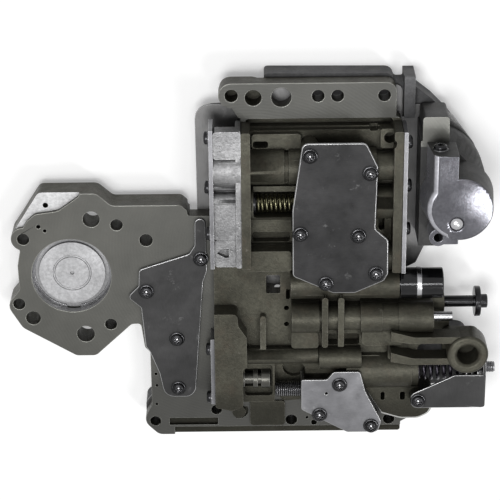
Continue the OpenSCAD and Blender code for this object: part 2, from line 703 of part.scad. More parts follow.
// Ridges of the valve rows
module housing_ridges() {
    shift_ridge = shift_r + ridge_wall;
    kick_ridge = kick_r + ridge_wall;
    fin_top = kick_row[1] + kick_ridge + fin_h;
    stepped_ridge(shift_1_steps, shift_1, shift_ridge);
    ridge(row_left + cut, row_right - cut, shift_2, shift_ridge - shift_2_cut);
    ridge(row_left + cut, row_right - cut, shift_3, small_shift_r + ridge_wall - shift_3_cut);
    ridge(nose_ridge_x, row_right - cut / 2, nose_row, nose_r + ridge_wall);
    stepped_ridge(kick_steps, kick_row, kick_ridge);
    for (x = fin_x) soft_box(x, fin_y[0], x + fin_w, fin_y[1], z_face, fin_top, fin_corner);
    x_bar(manual_guide_x, manual_end, manual_row, manual_r + manual_guide_wall);
    stepped_ridge(reg_steps, reg_row, reg_r + ridge_wall + reg_extra);
    ridge(pipe_1_x[0], pipe_1_x[1], pipe_1, pipe_1_r);
    ridge(pipe_2_x[0], pipe_2_x[1], pipe_2, pipe_2_r);
}

// One arm of the lever boss, from its root to the boss
module lever_arm(root_y, y) {
    plate([[arm_root, root_y, 0], [arm_bend, y, arm_curve], [boss_at[0], y, 0], [boss_at[0], y - arm_w, 0],
        [arm_bend - arm_taper, y - arm_w, arm_curve], [arm_root, root_y - arm_w - arm_taper, 0]],
        z_arm_low, z_arm);
}

// Boss for the lever shaft on its two arms
module lever_arms() {
    z_bar(boss_at, z_boss - boss_len, z_boss - boss_chamfer, boss_r);
    translate([boss_at[0], boss_at[1], z_boss - boss_chamfer])
        cylinder(h = boss_chamfer, r1 = boss_r, r2 = boss_r - boss_chamfer);
    soft_box(tongue_x[0], tongue_y[0], tongue_x[1], tongue_y[1], tongue_low, z_boss - boss_len + cut,
        tongue_corner);
    lever_arm(arm_root_y[0], arm_high_y);
    lever_arm(arm_root_y[1], arm_low_y + arm_w);
}

// Bosses under the cover plates and brackets
module screw_bosses() {
    for (p = centre_screw_at) z_bar(p, z_face, z_face + centre_seat_h, boss_screw_r);
    for (p = throttle_screw_at) z_bar(p, z_face - cut, z_face + throttle_seat_h, boss_screw_r);
    z_bar(bracket_screw_at, z_deck + cut, z_face + reg_seat_h, boss_screw_r);
}

module housing_bores() {
    x_bar(row_left - cut, row_right + cut, shift_1, shift_r);
    x_bar(row_left - cut, row_right + cut, shift_2, shift_r);
    x_bar(row_left - cut, row_right + cut, shift_3, small_shift_r);
    x_bar(blind_bore, row_right + cut, nose_row, nose_r);
    x_bar(blind_bore, kick_end + cut, kick_row, kick_r);
    x_bar(manual_bore_start, manual_end + cut, manual_row, manual_r);
    x_bar(blind_bore, reg_end + cut, reg_row, reg_r);
    x_bar(low_left - cut, throttle_bore_end, throttle_row, throttle_r);
}

module housing_pockets() {
    for (p = housing_pocket_list) soft_box(p[0], p[1], p[2], p[3], p[4], p[5], p[6]);
    for (p = round_pockets) z_bar(p, p[3], pocket_top, p[2]);
    plate(trough_outline, z_face - trough_depth, z_face + cut);
    plate(hollow_outline, z_face - hollow_depth, z_face + cut);
    plate(cast_outline, z_face - cast_drop, z_face + cut);
    box([flange_step[0], flange_low - cut, z_face - flange_step[2]],
        [flange_right + cut, flange_low + flange_step[1], z_face + cut]);
    intersection() {
        translate([flange_boss[0], flange_boss[1], z_face - flange_groove_w]) difference() {
            cylinder(h = flange_boss_h + 2 * flange_groove_w, r = flange_boss_r + flange_groove_w);
            cylinder(h = flange_boss_h + 2 * flange_groove_w, r = flange_boss_r);
        }
        translate([flange_boss[0], flange_boss[1], 0])
            box([each flange_groove_box[0], z_face - 2 * flange_groove_w],
                [each flange_groove_box[1], z_block]);
    }
}

module housing_holes() {
    round_holes(wing_holes, z_wing - cut, z_face + cut);
    round_holes(stack_holes, z_deck - cut, z_face + cut);
    round_holes(bar_holes, z_deck - cut, z_face + cut);
    round_holes(pin_holes, z_face - pin_hole_depth, z_face + cut);
    holes_down(left_cover_screw_at, z_face - screw_bite, z_face + cut);
    holes_down(centre_screw_at, z_face + centre_seat_h - centre_bite, z_face + centre_seat_h + cut);
    holes_down(throttle_screw_at, z_face + throttle_seat_h - screw_bite, z_face + throttle_seat_h + cut);
    holes_down([bracket_screw_at], z_face + reg_seat_h - screw_bite, z_face + reg_seat_h + cut);
    holes_down(transfer_screw_at, z_deck - cut, z_deck + transfer_bite);
    holes_along(left_screw_at, row_left - cut, row_left + end_bite);
    holes_along(right_screw_at, row_right - end_bite, row_right + cut);
    holes_along(low_screw_at, low_left - cut, low_left + screw_bite);
    z_bar(boss_at, z_boss - boss_len - cut, z_boss + cut, boss_bore_r);
    translate([boss_at[0], boss_at[1], z_boss - boss_sink])
        cylinder(h = 2 * boss_sink, r1 = boss_bore_r, r2 = boss_bore_r + 2 * boss_sink);
    z_bar(acc_at, acc_floor_z, z_face + cut, acc_r);
    z_bar(acc_at, snap_z - seat_gap, snap_z + snap_t + seat_gap, acc_r + snap_depth + screw_gap);
}

module valve_housing() {
    color(olive) difference() {
        union() {
            housing_deck();
            housing_blocks();
            housing_ridges();
            lever_arms();
            screw_bosses();
        }
        housing_bores();
        housing_pockets();
        housing_holes();
    }
}

module shift_end_cover() {
    color(raw_aluminium) difference() {
        union() {
            for (b = end_cover_blocks) soft_box(end_cover_left, b[0], row_left, b[1], b[2], b[3], b[4]);
            for (r = end_cover_ribs) x_bar(end_cover_left, row_left, r, r[2]);
            soft_box(end_cover_lip_x, end_cover_y[0], row_left, end_cover_y[1], end_cover_low, z_wall - cut,
                cut);
        }
        x_bar(end_cover_left - cut, row_left - 4, shift_1, shift_r - 1);
        plate(end_cover_recess, end_cover_recess_z, z_wall + cut);
        holes_along(left_screw_at, end_cover_left - cut, row_left + cut);
    }
}

module left_end_plate() {
    color(bright_steel) difference() {
        box([end_cover_left - end_plate_t, end_plate_y[0], end_plate_z[0]],
            [end_cover_left, end_plate_y[1], end_plate_z[1]]);
        holes_along(left_screw_at, end_cover_left - end_plate_t - cut, end_cover_left + cut);
    }
}

module lower_end_plate() {
    color(bright_steel) difference() {
        box([low_left - end_plate_t, low_plate_y[0], z_face], [low_left, low_plate_y[1], low_plate_top]);
        holes_along(low_screw_at, low_left - end_plate_t - cut, low_left + cut);
    }
}

module right_end_plate() {
    color(bright_steel) difference() {
        box([row_right, right_plate_y[0], z_face], [row_right + end_plate_t, right_plate_y[1], end_plate_z[1]]);
        holes_along(right_screw_at, row_right - cut, row_right + end_plate_t + cut);
    }
}

module centre_cover() {
    z = z_face + centre_seat_h;
    color(steel_sheet) difference() {
        plate(centre_cover_outline, z, z + cover_t);
        holes_down(centre_screw_at, z - cut, z + cover_t + cut);
    }
}

module left_cover() {
    color(steel_sheet) difference() {
        plate(left_cover_outline, z_face, z_face + cover_t);
        holes_down(left_cover_screw_at, z_face - cut, z_face + cover_t + cut);
    }
}

// Flat plate with a bent flange that holds the throttle screw
module throttle_bracket() {
    z = z_face + throttle_seat_h;
    color(bright_steel) difference() {
        union() {
            plate(throttle_outline, z, z + throttle_bracket_t);
            box([throttle_plate_left, throttle_flange_y[0], throttle_flange_low],
                [throttle_plate_left + throttle_bracket_t, throttle_flange_y[1], z + cut / 2]);
        }
        holes_down(throttle_screw_at, z - cut, z + throttle_bracket_t + cut);
        x_bar(throttle_plate_left - cut, throttle_plate_left + throttle_bracket_t + cut, stud_at,
            stud_r + screw_gap);
        z_bar(throttle_pin, z - cut, z + throttle_bracket_t + cut, throttle_pin[2]);
    }
}

// Flat plate with a bent flange that holds the line pressure screw
module regulator_bracket() {
    z = z_face + reg_seat_h;
    color(steel_sheet) difference() {
        union() {
            plate(bracket_outline, z, z + bracket_t);
            box([bracket_right - bracket_t, bracket_flange_y[0], bracket_flange_low],
                [bracket_right, bracket_flange_y[1], z + bracket_t / 2]);
        }
        holes_down([bracket_screw_at], z - cut, z + bracket_t + cut);
        x_bar(bracket_right - bracket_t - cut, bracket_right + cut, reg_row, line_screw_r + screw_gap);
    }
}

module centre_cover_screws() {
    color(zinc_screw) screws_down(centre_screw_at, z_face + centre_seat_h + cover_t,
        cover_t + centre_bite - screw_rest);
}

module left_cover_screws() {
    color(zinc_screw) screws_down(left_cover_screw_at, z_face + cover_t, cover_t + screw_bite - screw_rest);
}

module throttle_bracket_screws() {
    color(zinc_screw) screws_down(throttle_screw_at, z_face + throttle_seat_h + throttle_bracket_t,
        throttle_bracket_t + screw_bite - screw_rest);
}

module regulator_bracket_screw() {
    color(zinc_screw) screws_down([bracket_screw_at], z_face + reg_seat_h + bracket_t,
        bracket_t + screw_bite - screw_rest);
}

module left_end_screws() {
    color(zinc_screw) screws_along(left_screw_at, end_cover_left - end_plate_t,
        end_plate_t + row_left - end_cover_left + end_bite - screw_rest, -1);
}

module lower_end_screws() {
    color(zinc_screw) screws_along(low_screw_at, low_left - end_plate_t,
        end_plate_t + screw_bite - screw_rest, -1);
}

module right_end_screws() {
    color(zinc_screw) screws_along(right_screw_at, row_right + end_plate_t,
        end_plate_t + end_bite - screw_rest, 1);
}

module transfer_screws() {
    seat = head_h + cut;
    color(zinc_screw) for (p = transfer_screw_at)
        translate([p[0], p[1], seat]) mirror([0, 0, 1]) screw(z_deck + transfer_bite - screw_rest / 2 - seat);
}

module governor_housing() {
    color(dark_cast) difference() {
        union() {
            intersection() {
                translate([gov_at[0], gov_at[1], z_gov]) rotate_extrude() polygon([[0, 0], [gov_r1, 0],
                    [gov_r1, gov_step_1], [gov_r2, gov_step_2], [0, gov_step_2]]);
                box([gov_left, gov_y[0], z_gov - cut], [gov_at[0] + gov_r1 + cut, gov_y[1], z_gov_2 + cut]);
            }
            soft_box(gov_lug[0], gov_lug[1], gov_lug[2], gov_lug[3], z_gov, z_gov_2, 2);
        }
        holes_down([gov_screw_at], z_gov - cut, z_gov + transfer_bite);
        holes_down([lug_at], z_gov_2 - screw_bite, z_gov_2 + cut);
        z_bar(gov_pin_at, z_gov_2 - gov_pin_bite, z_gov_2 + cut, gov_pin_r + screw_gap);
    }
}

module governor_cover() {
    half = (neck_x[1] - neck_x[0]) / 2;
    mid = (neck_x[1] + neck_x[0]) / 2;
    color(raw_aluminium) difference() {
        union() {
            translate([cover_at[0], cover_at[1], z_gov_2])
                cylinder(h = gov_cover_h, r1 = gov_cover_r + cover_draft, r2 = gov_cover_r);
            translate([mid, neck_top_y, z_gov_2]) rotate([90, 0, 0]) linear_extrude(neck_top_y - cover_at[1])
                polygon([[-half - cover_draft, 0], [half, 0], [half, gov_cover_h], [-half, gov_cover_h]]);
            z_bar(lug_at, z_gov_2, z_gov_top - lug_drop, lug_r);
            translate([lug_at[0], lug_at[1] - lug_r + 1, z_gov_2])
                cube([cover_at[0] - lug_at[0], lug_r * 2 - 2, gov_cover_h - lug_drop]);
        }
        holes_down([lug_at], z_gov_2 - cut, z_gov_top);
        translate([neck_screw[0], neck_top_y + cut, neck_screw[1]]) rotate([90, 0, 0])
            cylinder(h = screw_bite + cut, r = screw_r + screw_gap);
        z_bar(gov_pin_at, z_gov_2 - cut, z_gov_top + cut, gov_pin_r + screw_gap);
    }
}

module governor_screw() {
    color(zinc_screw) translate([neck_screw[0], neck_top_y, neck_screw[1]]) rotate([-90, 0, 0])
        screw(screw_bite - screw_rest);
}

// Dome-ended pin through the bright cover
module governor_pin() {
    color(bright_steel) {
        z_bar(gov_pin_at, z_gov_2 - gov_pin_bite + seat_gap, z_gov_top, gov_pin_r);
        translate([gov_pin_at[0], gov_pin_at[1], z_gov_top]) rotate_extrude() intersection() {
            translate([0, -gov_pin_r]) circle(r = gov_pin_r * 1.414);
            square([gov_pin_r, gov_pin_r]);
        }
    }
}

module shift_valve_1() {
    land = shift_r - valve_gap;
    color(bright_steel) spool(shift_1, shift_1_lands, land, land * stem_share);
}

module shift_spring_1() {
    left = last_end(shift_1_lands) + seat_gap;
    color(brass_wire) x_coil(left, row_right - seat_gap, shift_1, shift_r, shift_1_coil);
}

module shift_valve_2() {
    land = shift_r - valve_gap;
    color(bright_steel) spool(shift_2, shift_2_lands, land, land * stem_share);
}

module shift_spring_2() {
    right = shift_2_lands[0][0] - seat_gap;
    color(brass_wire) x_coil(plug_end + seat_gap, right, shift_2, shift_r, shift_2_coil);
}

// Plug that carries the open spring's left end
module shift_plug_2() {
    color(black_oxide) x_bar(row_left + seat_gap, plug_end, shift_2, shift_r - valve_gap);
}

module shift_valve_3() {
    land = small_shift_r - valve_gap;
    color(bright_steel) spool(shift_3, shift_3_lands, land, land * stem_share);
}

module shift_spring_3() {
    left = last_end(shift_3_lands) + seat_gap;
    color(brass_wire) x_coil(left, row_right - seat_gap, shift_3, small_shift_r, shift_3_coil);
}

module kickdown_valve() {
    land_end = last_end(kick_lands);
    color(bright_steel) {
        spool(kick_row, kick_lands, kick_r - valve_gap, kick_pin_r);
        x_bar(land_end - cut, kick_pin_end, kick_row, kick_pin_r);
    }
}

module kickdown_spring() {
    right = kick_lands[0][0] - seat_gap;
    color(brass_wire) x_coil(blind_bore + seat_gap, right, kick_row, kick_r, kick_coil);
}

// Bush that guides the pin at the end of its bore
module kickdown_bush() {
    left = last_end(kick_lands) + seat_gap * 3;
    color(bright_steel) x_ring(left, kick_end, kick_row, kick_r - seat_gap, kick_pin_r + valve_gap);
}

module manual_valve() {
    land = manual_r - valve_gap;
    disc_end = manual_disc_x + disc_t;
    color(black_oxide) {
        spool(manual_row, manual_lands, land, land * stem_share);
        x_bar(last_end(manual_lands) - cut, manual_disc_x + cut, manual_row, rod_r);
        x_bar(manual_disc_x, disc_end, manual_row, disc_r);
        x_bar(disc_end - cut, manual_tip, manual_row, manual_tip_r);
    }
}

module throttle_valve() {
    land = throttle_r - valve_gap;
    color(bright_steel) spool(throttle_row, throttle_lands, land, land * stem_share);
}

module throttle_spring() {
    right = throttle_lands[0][0] - seat_gap;
    color(brass_wire) x_coil(low_left + seat_gap, right, throttle_row, throttle_r, throttle_coil);
}

module regulator_valve() {
    land = reg_r - valve_gap;
    color(bright_steel) spool(reg_row, reg_lands, land, land * stem_share);
}

module regulator_spring() {
    left = last_end(reg_lands) + seat_gap;
    color(black_oxide) x_coil(left, reg_spring_end - seat_gap, reg_row, reg_r, reg_coil);
}

module regulator_spring_seat() {
    color(zinc_screw) x_bar(reg_spring_end, reg_spring_end + reg_seat_t, reg_row, reg_r);
}

// Six-sided socket along X, open to the right at x
module socket(x, row, depth, r) {
    translate([x - depth, row[0], row[1]]) rotate([0, 90, 0]) cylinder(h = depth + cut, r = r, $fn = 6);
}

module line_pressure_screw() {
    color(zinc_screw) difference() {
        x_bar(reg_spring_end + reg_seat_t, line_screw_end, reg_row, line_screw_r);
        socket(line_screw_end, reg_row, 3, line_screw_r * 0.55);
    }
}

module throttle_screw() {
    color(black_oxide) difference() {
        union() {
            x_bar(stud_left + cut, stud_right, stud_at, stud_r);
            x_bar(stud_left, stud_left + 2 * cut, stud_at, stud_r - 0.8);
        }
        socket(stud_right, stud_at, 4, stud_r * 0.5);
    }
}

module solenoid_body() {
    color(black_oxide) {
        x_bar(nose_start, solenoid_x + cut / 2, nose_row, nose_r - valve_gap);
        difference() {
            x_bar(solenoid_x, solenoid_x + solenoid_len, nose_row, solenoid_r);
            x_ring(band_x, band_x + band_w, nose_row, solenoid_r + cut, solenoid_r - band_depth);
        }
    }
}

module solenoid_band() {
    color(bright_steel) x_ring(band_x + seat_gap, band_x + band_w - seat_gap, nose_row, solenoid_r + 0.3,
        solenoid_r - band_depth + seat_gap);
}

module accumulator_piston() {
    skirt_r = acc_r - valve_gap;
    color(raw_aluminium) difference() {
        union() {
            z_bar(acc_at, acc_body_z, acc_body_z + acc_skirt, skirt_r);
            z_bar(acc_at, acc_body_z + acc_skirt - cut, acc_crown_z, acc_crown_r);
        }
        translate([acc_at[0], acc_at[1], seal_z]) difference() {
            cylinder(h = seal_t + 2 * seat_gap, r = acc_r + cut);
            translate([0, 0, -cut]) cylinder(h = seal_t + 2 * cut + 2 * seat_gap, r = skirt_r - seal_groove);
        }
        translate([acc_at[0], acc_at[1], acc_crown_z])
            rotate_extrude() translate([acc_ring_r, 0]) circle(r = acc_ring_groove);
        z_bar(acc_at, acc_crown_z - acc_dimple_h, acc_crown_z + cut, acc_dimple_r);
        z_bar(acc_at, acc_body_z - cut, acc_body_z + acc_hollow_h, acc_hollow_r);
    }
}

module accumulator_seal() {
    translate([acc_at[0], acc_at[1], seal_z + seat_gap]) color(rubber) difference() {
        cylinder(h = seal_t, r = acc_r - seal_gap);
        translate([0, 0, -cut]) cylinder(h = seal_t + 2 * cut, r = acc_r - valve_gap - seal_groove + seat_gap);
    }
}

// Snap ring with an open gap, in its groove above the piston's skirt
module accumulator_snap_ring() {
    color(black_oxide) translate([acc_at[0], acc_at[1], snap_z]) difference() {
        cylinder(h = snap_t, r = acc_r + snap_depth);
        translate([0, 0, -cut]) cylinder(h = snap_t + 2 * cut, r = acc_r + snap_depth - snap_w);
        translate([-snap_open / 2, -acc_r - snap_open / 2, -cut])
            cube([snap_open, snap_open, snap_t + 2 * cut]);
    }
}

module accumulator_spring() {
    color(brass_wire) translate([acc_at[0], acc_at[1], acc_floor_z + seat_gap])
        coil(acc_coil[0], acc_coil[1], acc_body_z + acc_hollow_h - acc_floor_z - 2 * seat_gap, acc_coil[2],
            acc_coil[3]);
}

module check_balls() {
    color(bright_steel) for (b = ball_at)
        translate([b[0], b[1], z_separator - ball_pocket + ball_r + 0.05]) sphere(r = ball_r);
}

transfer_plate();
separator_plate();
valve_housing();
shift_end_cover();
governor_housing();
governor_cover();
left_end_plate();
lower_end_plate();
right_end_plate();
centre_cover();
left_cover();
throttle_bracket();
regulator_bracket();
centre_cover_screws();
left_cover_screws();
throttle_bracket_screws();
left_end_screws();
lower_end_screws();
right_end_screws();
regulator_bracket_screw();
transfer_screws();
governor_screw();
shift_valve_1();
shift_valve_2();
shift_valve_3();
kickdown_valve();
kickdown_bush();
manual_valve();
throttle_valve();
regulator_valve();
accumulator_piston();
accumulator_seal();
accumulator_snap_ring();
shift_spring_1();
shift_spring_2();
shift_spring_3();
kickdown_spring();
throttle_spring();
regulator_spring();
accumulator_spring();
shift_plug_2();
regulator_spring_seat();
line_pressure_screw();
throttle_screw();
solenoid_body();
solenoid_band();
governor_pin();
check_balls();
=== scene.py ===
"""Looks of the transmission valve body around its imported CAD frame.

Lengths are in metres unless a comment says otherwise.
"""

import math

import bmesh
import bpy
from mathutils import Matrix, Vector


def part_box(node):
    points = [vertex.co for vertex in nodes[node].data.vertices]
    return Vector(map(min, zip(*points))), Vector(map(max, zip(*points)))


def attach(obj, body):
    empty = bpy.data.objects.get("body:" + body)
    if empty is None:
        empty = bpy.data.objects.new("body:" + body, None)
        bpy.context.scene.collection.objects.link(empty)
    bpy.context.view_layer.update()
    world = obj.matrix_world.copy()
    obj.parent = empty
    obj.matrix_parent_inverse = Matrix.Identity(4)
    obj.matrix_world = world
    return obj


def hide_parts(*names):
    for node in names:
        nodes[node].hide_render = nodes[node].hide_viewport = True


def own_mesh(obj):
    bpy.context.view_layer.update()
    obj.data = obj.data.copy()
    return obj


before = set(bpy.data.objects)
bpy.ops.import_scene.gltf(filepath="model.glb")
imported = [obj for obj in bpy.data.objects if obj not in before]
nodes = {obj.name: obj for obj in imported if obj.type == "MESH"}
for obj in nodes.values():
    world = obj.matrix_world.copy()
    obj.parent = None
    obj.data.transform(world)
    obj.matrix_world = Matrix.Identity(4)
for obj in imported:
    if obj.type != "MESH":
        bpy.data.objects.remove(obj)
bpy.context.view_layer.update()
MM = 0.001
ROOT = "housing"
# Height of the housing's milled face
FACE_Z = 0.026
# Points this near are one point, and faces this near in height are level
WELD = 2e-5
LEVEL = 3e-5
# Least upright share of a level face's normal, on the castings and on the cover that is crowned
UPRIGHT = 0.98
CROWN_UPRIGHT = 0.99
# Sides of round forms
ROUND = 48


class Surface:
    """One procedural material and the few node steps that it is built from."""

    def __init__(self, name):
        self.made = bpy.data.materials.new(name)
        self.made.use_nodes = True
        self.tree = self.made.node_tree
        self.shader = self.tree.nodes["Principled BSDF"]
        self.place = self.add("ShaderNodeTexCoord").outputs["Object"]

    def add(self, kind, **settings):
        node = self.tree.nodes.new(kind)
        for key, value in settings.items():
            setattr(node, key, value)
        return node

    def feed(self, socket, value):
        if isinstance(value, bpy.types.NodeSocket):
            self.tree.links.new(value, socket)
        else:
            socket.default_value = value

    def set(self, name, value):
        self.feed(self.shader.inputs[name], value)

    def spread(self, stretch):
        """The place, stretched along each axis."""
        node = self.add("ShaderNodeMapping")
        self.feed(node.inputs["Vector"], self.place)
        node.inputs["Scale"].default_value = stretch
        return node.outputs["Vector"]

    def noise(self, scale, detail=3.0, roughness=0.55, at=None):
        node = self.add("ShaderNodeTexNoise")
        self.feed(node.inputs["Vector"], at or self.place)
        node.inputs["Scale"].default_value = scale
        node.inputs["Detail"].default_value = detail
        node.inputs["Roughness"].default_value = roughness
        return node.outputs["Fac"]

    def cells(self, scale):
        node = self.add("ShaderNodeTexVoronoi")
        self.feed(node.inputs["Vector"], self.place)
        node.inputs["Scale"].default_value = scale
        return node.outputs["Distance"]

    def combine(self, operation, a, b):
        node = self.add("ShaderNodeMath", operation=operation)
        self.feed(node.inputs[0], a)
        self.feed(node.inputs[1], b)
        return node.outputs[0]

    def remap(self, value, low, high, to_low=0.0, to_high=1.0):
        node = self.add("ShaderNodeMapRange")
        self.feed(node.inputs["Value"], value)
        node.inputs["From Min"].default_value = low
        node.inputs["From Max"].default_value = high
        node.inputs["To Min"].default_value = to_low
        node.inputs["To Max"].default_value = to_high
        return node.outputs["Result"]

    def mix(self, share, a, b):
        node = self.add("ShaderNodeMix", data_type="RGBA")
        self.feed(node.inputs["Factor"], share)
        for socket, value in ((node.inputs[6], a), (node.inputs[7], b)):
            self.feed(socket, value if isinstance(value, bpy.types.NodeSocket) else (*value, 1.0))
        return node.outputs[2]

    def axis(self, name):
        """One coordinate of the place on the object."""
        node = self.add("ShaderNodeSeparateXYZ")
        self.feed(node.inputs[0], self.place)
        return node.outputs[name]

    def hollow(self, distance):
        """1 in the open and less in corners and pockets."""
        node = self.add("ShaderNodeAmbientOcclusion", samples=6)
        node.inputs["Distance"].default_value = distance
        return node.outputs["AO"]

    def rim(self, radius, full):
        """0 on flat or softly curved places and 1 along sharp edges."""
        round_edge = self.add("ShaderNodeBevel", samples=4)
        round_edge.inputs["Radius"].default_value = radius
        flat = self.add("ShaderNodeNewGeometry")
        node = self.add("ShaderNodeVectorMath", operation="DOT_PRODUCT")
        self.feed(node.inputs[0], round_edge.outputs["Normal"])
        self.feed(node.inputs[1], flat.outputs["Normal"])
        return self.remap(node.outputs["Value"], 1.0, full)

    def bump(self, height, distance, strength, below=None):
        node = self.add("ShaderNodeBump")
        self.feed(node.inputs["Height"], height)
        node.inputs["Distance"].default_value = distance
        node.inputs["Strength"].default_value = strength
        if below is not None:
            self.feed(node.inputs["Normal"], below)
        return node.outputs["Normal"]


# Places along Y between which the painted shade sets in: towards the lower side on cast skin and on the
# milled flange, and towards the upper side on the top bar
CAST_SHADE = (-0.078, -0.108)
FLANGE_SHADE = (-0.066, -0.09)
BAR_SHADE = (0.06, 0.08)
# Reach of the painted shade in the corners of milled and sheet parts
CORNER_REACH = 0.004


def dimmed(colour, share):
    """A darker colour of the same hue."""
    return tuple(share * v for v in colour)


def cast_metal(name, dark, light, stain, worn, metallic, rough, grain, pits=0.0, shade_reach=0.008, shine=0.2,
               painted_shade=0.0):
    """Die-cast skin: mottled colour, fine grain, painted shade in the corners and, when asked, towards the
    lower side, and edges rubbed bright.
    """
    s = Surface(name)
    blotch = s.noise(30, 6, 0.66)
    fine = s.noise(520, 4, 0.7)
    colour = s.mix(s.remap(blotch, 0.36, 0.64), dark, light)
    colour = s.mix(s.remap(s.noise(75, 5, 0.65), 0.52, 0.74, 0.0, 0.7), colour, stain)
    colour = s.mix(s.remap(fine, 0.4, 0.68, 0.0, 0.5), colour, dimmed(dark, 0.5))
    colour = s.mix(s.remap(s.noise(260, 5, 0.75), 0.6, 0.74, 0.0, 0.4), colour, worn)
    # Painted shade: the colour darkens towards the lower side, by the given share
    if painted_shade:
        share = s.remap(s.axis("Y"), *CAST_SHADE, 0.0, painted_shade)
        colour = s.mix(share, colour, dimmed(dark, 0.4))
    s.set("Specular IOR Level", shine)
    # Painted shade: the colour darkens in corners and pockets within the given reach
    open_air = s.hollow(shade_reach)
    colour = s.mix(s.remap(open_air, 0.2, 0.8, 0.6, 0.0), colour, dimmed(dark, 0.22))
    edge = s.combine("MULTIPLY", s.rim(0.0005, 0.9), s.remap(open_air, 0.7, 0.95))
    edge = s.combine("MULTIPLY", edge, s.remap(s.noise(140, 4, 0.7), 0.38, 0.62, 0.15, 1.0))
    s.set("Base Color", s.mix(s.combine("MULTIPLY", edge, 0.85), colour, worn))
    s.set("Metallic", metallic)
    s.set("Roughness", s.remap(s.noise(110, 4, 0.6), 0.3, 0.7, rough[0], rough[1]))
    normal = s.bump(s.noise(900, 4, 0.65), 0.00035, grain)
    if pits:
        normal = s.bump(s.remap(s.cells(300), 0.0, 0.28), 0.0003, pits, normal)
    s.set("Normal", normal)
    return s.made


def machined_metal(name, dark, light, stain, worn, metallic, rough, swirl, painted_shade=0.0):
    """Milled face: faint arcs from the cutter, a satin sheen, small stains, bright hole rims, painted shade
    in the corners and, when asked, painted shade towards the lower side.
    """
    s = Surface(name)
    colour = s.mix(s.remap(s.noise(22, 5, 0.6), 0.32, 0.7), dark, light)
    colour = s.mix(s.remap(s.noise(75, 5, 0.65), 0.6, 0.82, 0.0, 0.5), colour, stain)
    # Painted shade: the colour darkens towards the lower side and, less, towards the top bar, by the given
    # share
    if painted_shade:
        share = s.remap(s.axis("Y"), *FLANGE_SHADE, 0.0, painted_shade)
        share = s.combine("MAXIMUM", share, s.remap(s.axis("Y"), *BAR_SHADE, 0.0, 0.3 * painted_shade))
        colour = s.mix(share, colour, dimmed(dark, 0.35))
    arcs = s.add("ShaderNodeTexWave", wave_type="RINGS", rings_direction="Z", wave_profile="SIN")
    s.feed(arcs.inputs["Vector"], s.spread((1, 1, 0.0)))
    arcs.inputs["Scale"].default_value = 170
    arcs.inputs["Distortion"].default_value = 1.2
    arcs.inputs["Detail"].default_value = 2.0
    colour = s.mix(s.combine("MULTIPLY", arcs.outputs["Fac"], 0.06), colour, light)
    # Painted shade: the colour darkens in corners within a short reach
    open_air = s.hollow(CORNER_REACH)
    colour = s.mix(s.remap(open_air, 0.4, 0.95, 0.6, 0.0), colour, dimmed(dark, 0.3))
    edge = s.combine("MULTIPLY", s.rim(0.0004, 0.93), s.remap(open_air, 0.7, 0.95))
    s.set("Base Color", s.mix(s.combine("MULTIPLY", edge, 0.8), colour, worn))
    s.set("Metallic", metallic)
    s.set("Roughness", s.remap(s.noise(90, 4, 0.6), 0.3, 0.7, rough[0], rough[1]))
    normal = s.bump(arcs.outputs["Fac"], 0.00005, swirl)
    s.set("Normal", s.bump(s.noise(700, 3, 0.6), 0.00015, 0.25, normal))
    return s.made


def sheet_metal(name, dark, light, worn, rough, grain_way):
    """Rolled sheet: long fine grain, soft clouds, scratches, bright sheared edges and painted shade in the
    corners.
    """
    s = Surface(name)
    along = s.spread(grain_way)
    streak = s.noise(260, 3, 0.6, along)
    colour = s.mix(s.remap(s.noise(26, 5, 0.65), 0.3, 0.7), dark, light)
    colour = s.mix(s.remap(streak, 0.35, 0.7, 0.0, 0.25), colour, dimmed(dark, 0.55))
    colour = s.mix(s.remap(s.noise(95, 6, 0.75), 0.62, 0.75, 0.0, 0.4), colour, worn)
    # Painted shade: the colour darkens in corners within a short reach
    open_air = s.hollow(CORNER_REACH)
    colour = s.mix(s.remap(open_air, 0.4, 0.95, 0.6, 0.0), colour, dimmed(dark, 0.3))
    edge = s.combine("MULTIPLY", s.rim(0.0005, 0.9), s.remap(open_air, 0.6, 0.9))
    s.set("Base Color", s.mix(s.combine("MULTIPLY", edge, 0.9), colour, worn))
    s.set("Metallic", 0.92)
    s.set("Roughness", s.remap(s.noise(120, 4, 0.6), 0.3, 0.7, rough[0], rough[1]))
    normal = s.bump(streak, 0.00006, 0.35)
    s.set("Normal", s.bump(s.noise(70, 3, 0.5), 0.0004, 0.12, normal))
    return s.made


def turned_metal(name, dark, light, worn, metallic, rough, rings_way, ring_depth):
    """Turned or ground bar: fine rings round the axis, oil film and rubbed edges."""
    s = Surface(name)
    rings = s.noise(900, 2, 0.5, s.spread(rings_way))
    colour = s.mix(s.remap(s.noise(70, 4, 0.6), 0.3, 0.7), dark, light)
    colour = s.mix(s.remap(rings, 0.35, 0.7, 0.0, 0.3), colour, dimmed(dark, 0.6))
    edge = s.rim(0.0003, 0.9)
    s.set("Base Color", s.mix(s.combine("MULTIPLY", edge, 0.7), colour, worn))
    s.set("Metallic", metallic)
    s.set("Roughness", s.remap(s.noise(150, 4, 0.6), 0.3, 0.7, rough[0], rough[1]))
    s.set("Normal", s.bump(rings, ring_depth, 0.5))
    return s.made


def rubber_skin(name):
    """Matte rubber with a fine dusty grain."""
    s = Surface(name)
    s.set("Base Color", s.mix(s.noise(200, 4, 0.6), (0.012, 0.012, 0.012), (0.03, 0.03, 0.031)))
    s.set("Roughness", s.remap(s.noise(400, 3, 0.6), 0.3, 0.7, 0.55, 0.8))
    s.set("Normal", s.bump(s.noise(1200, 3, 0.6), 0.0001, 0.4))
    return s.made
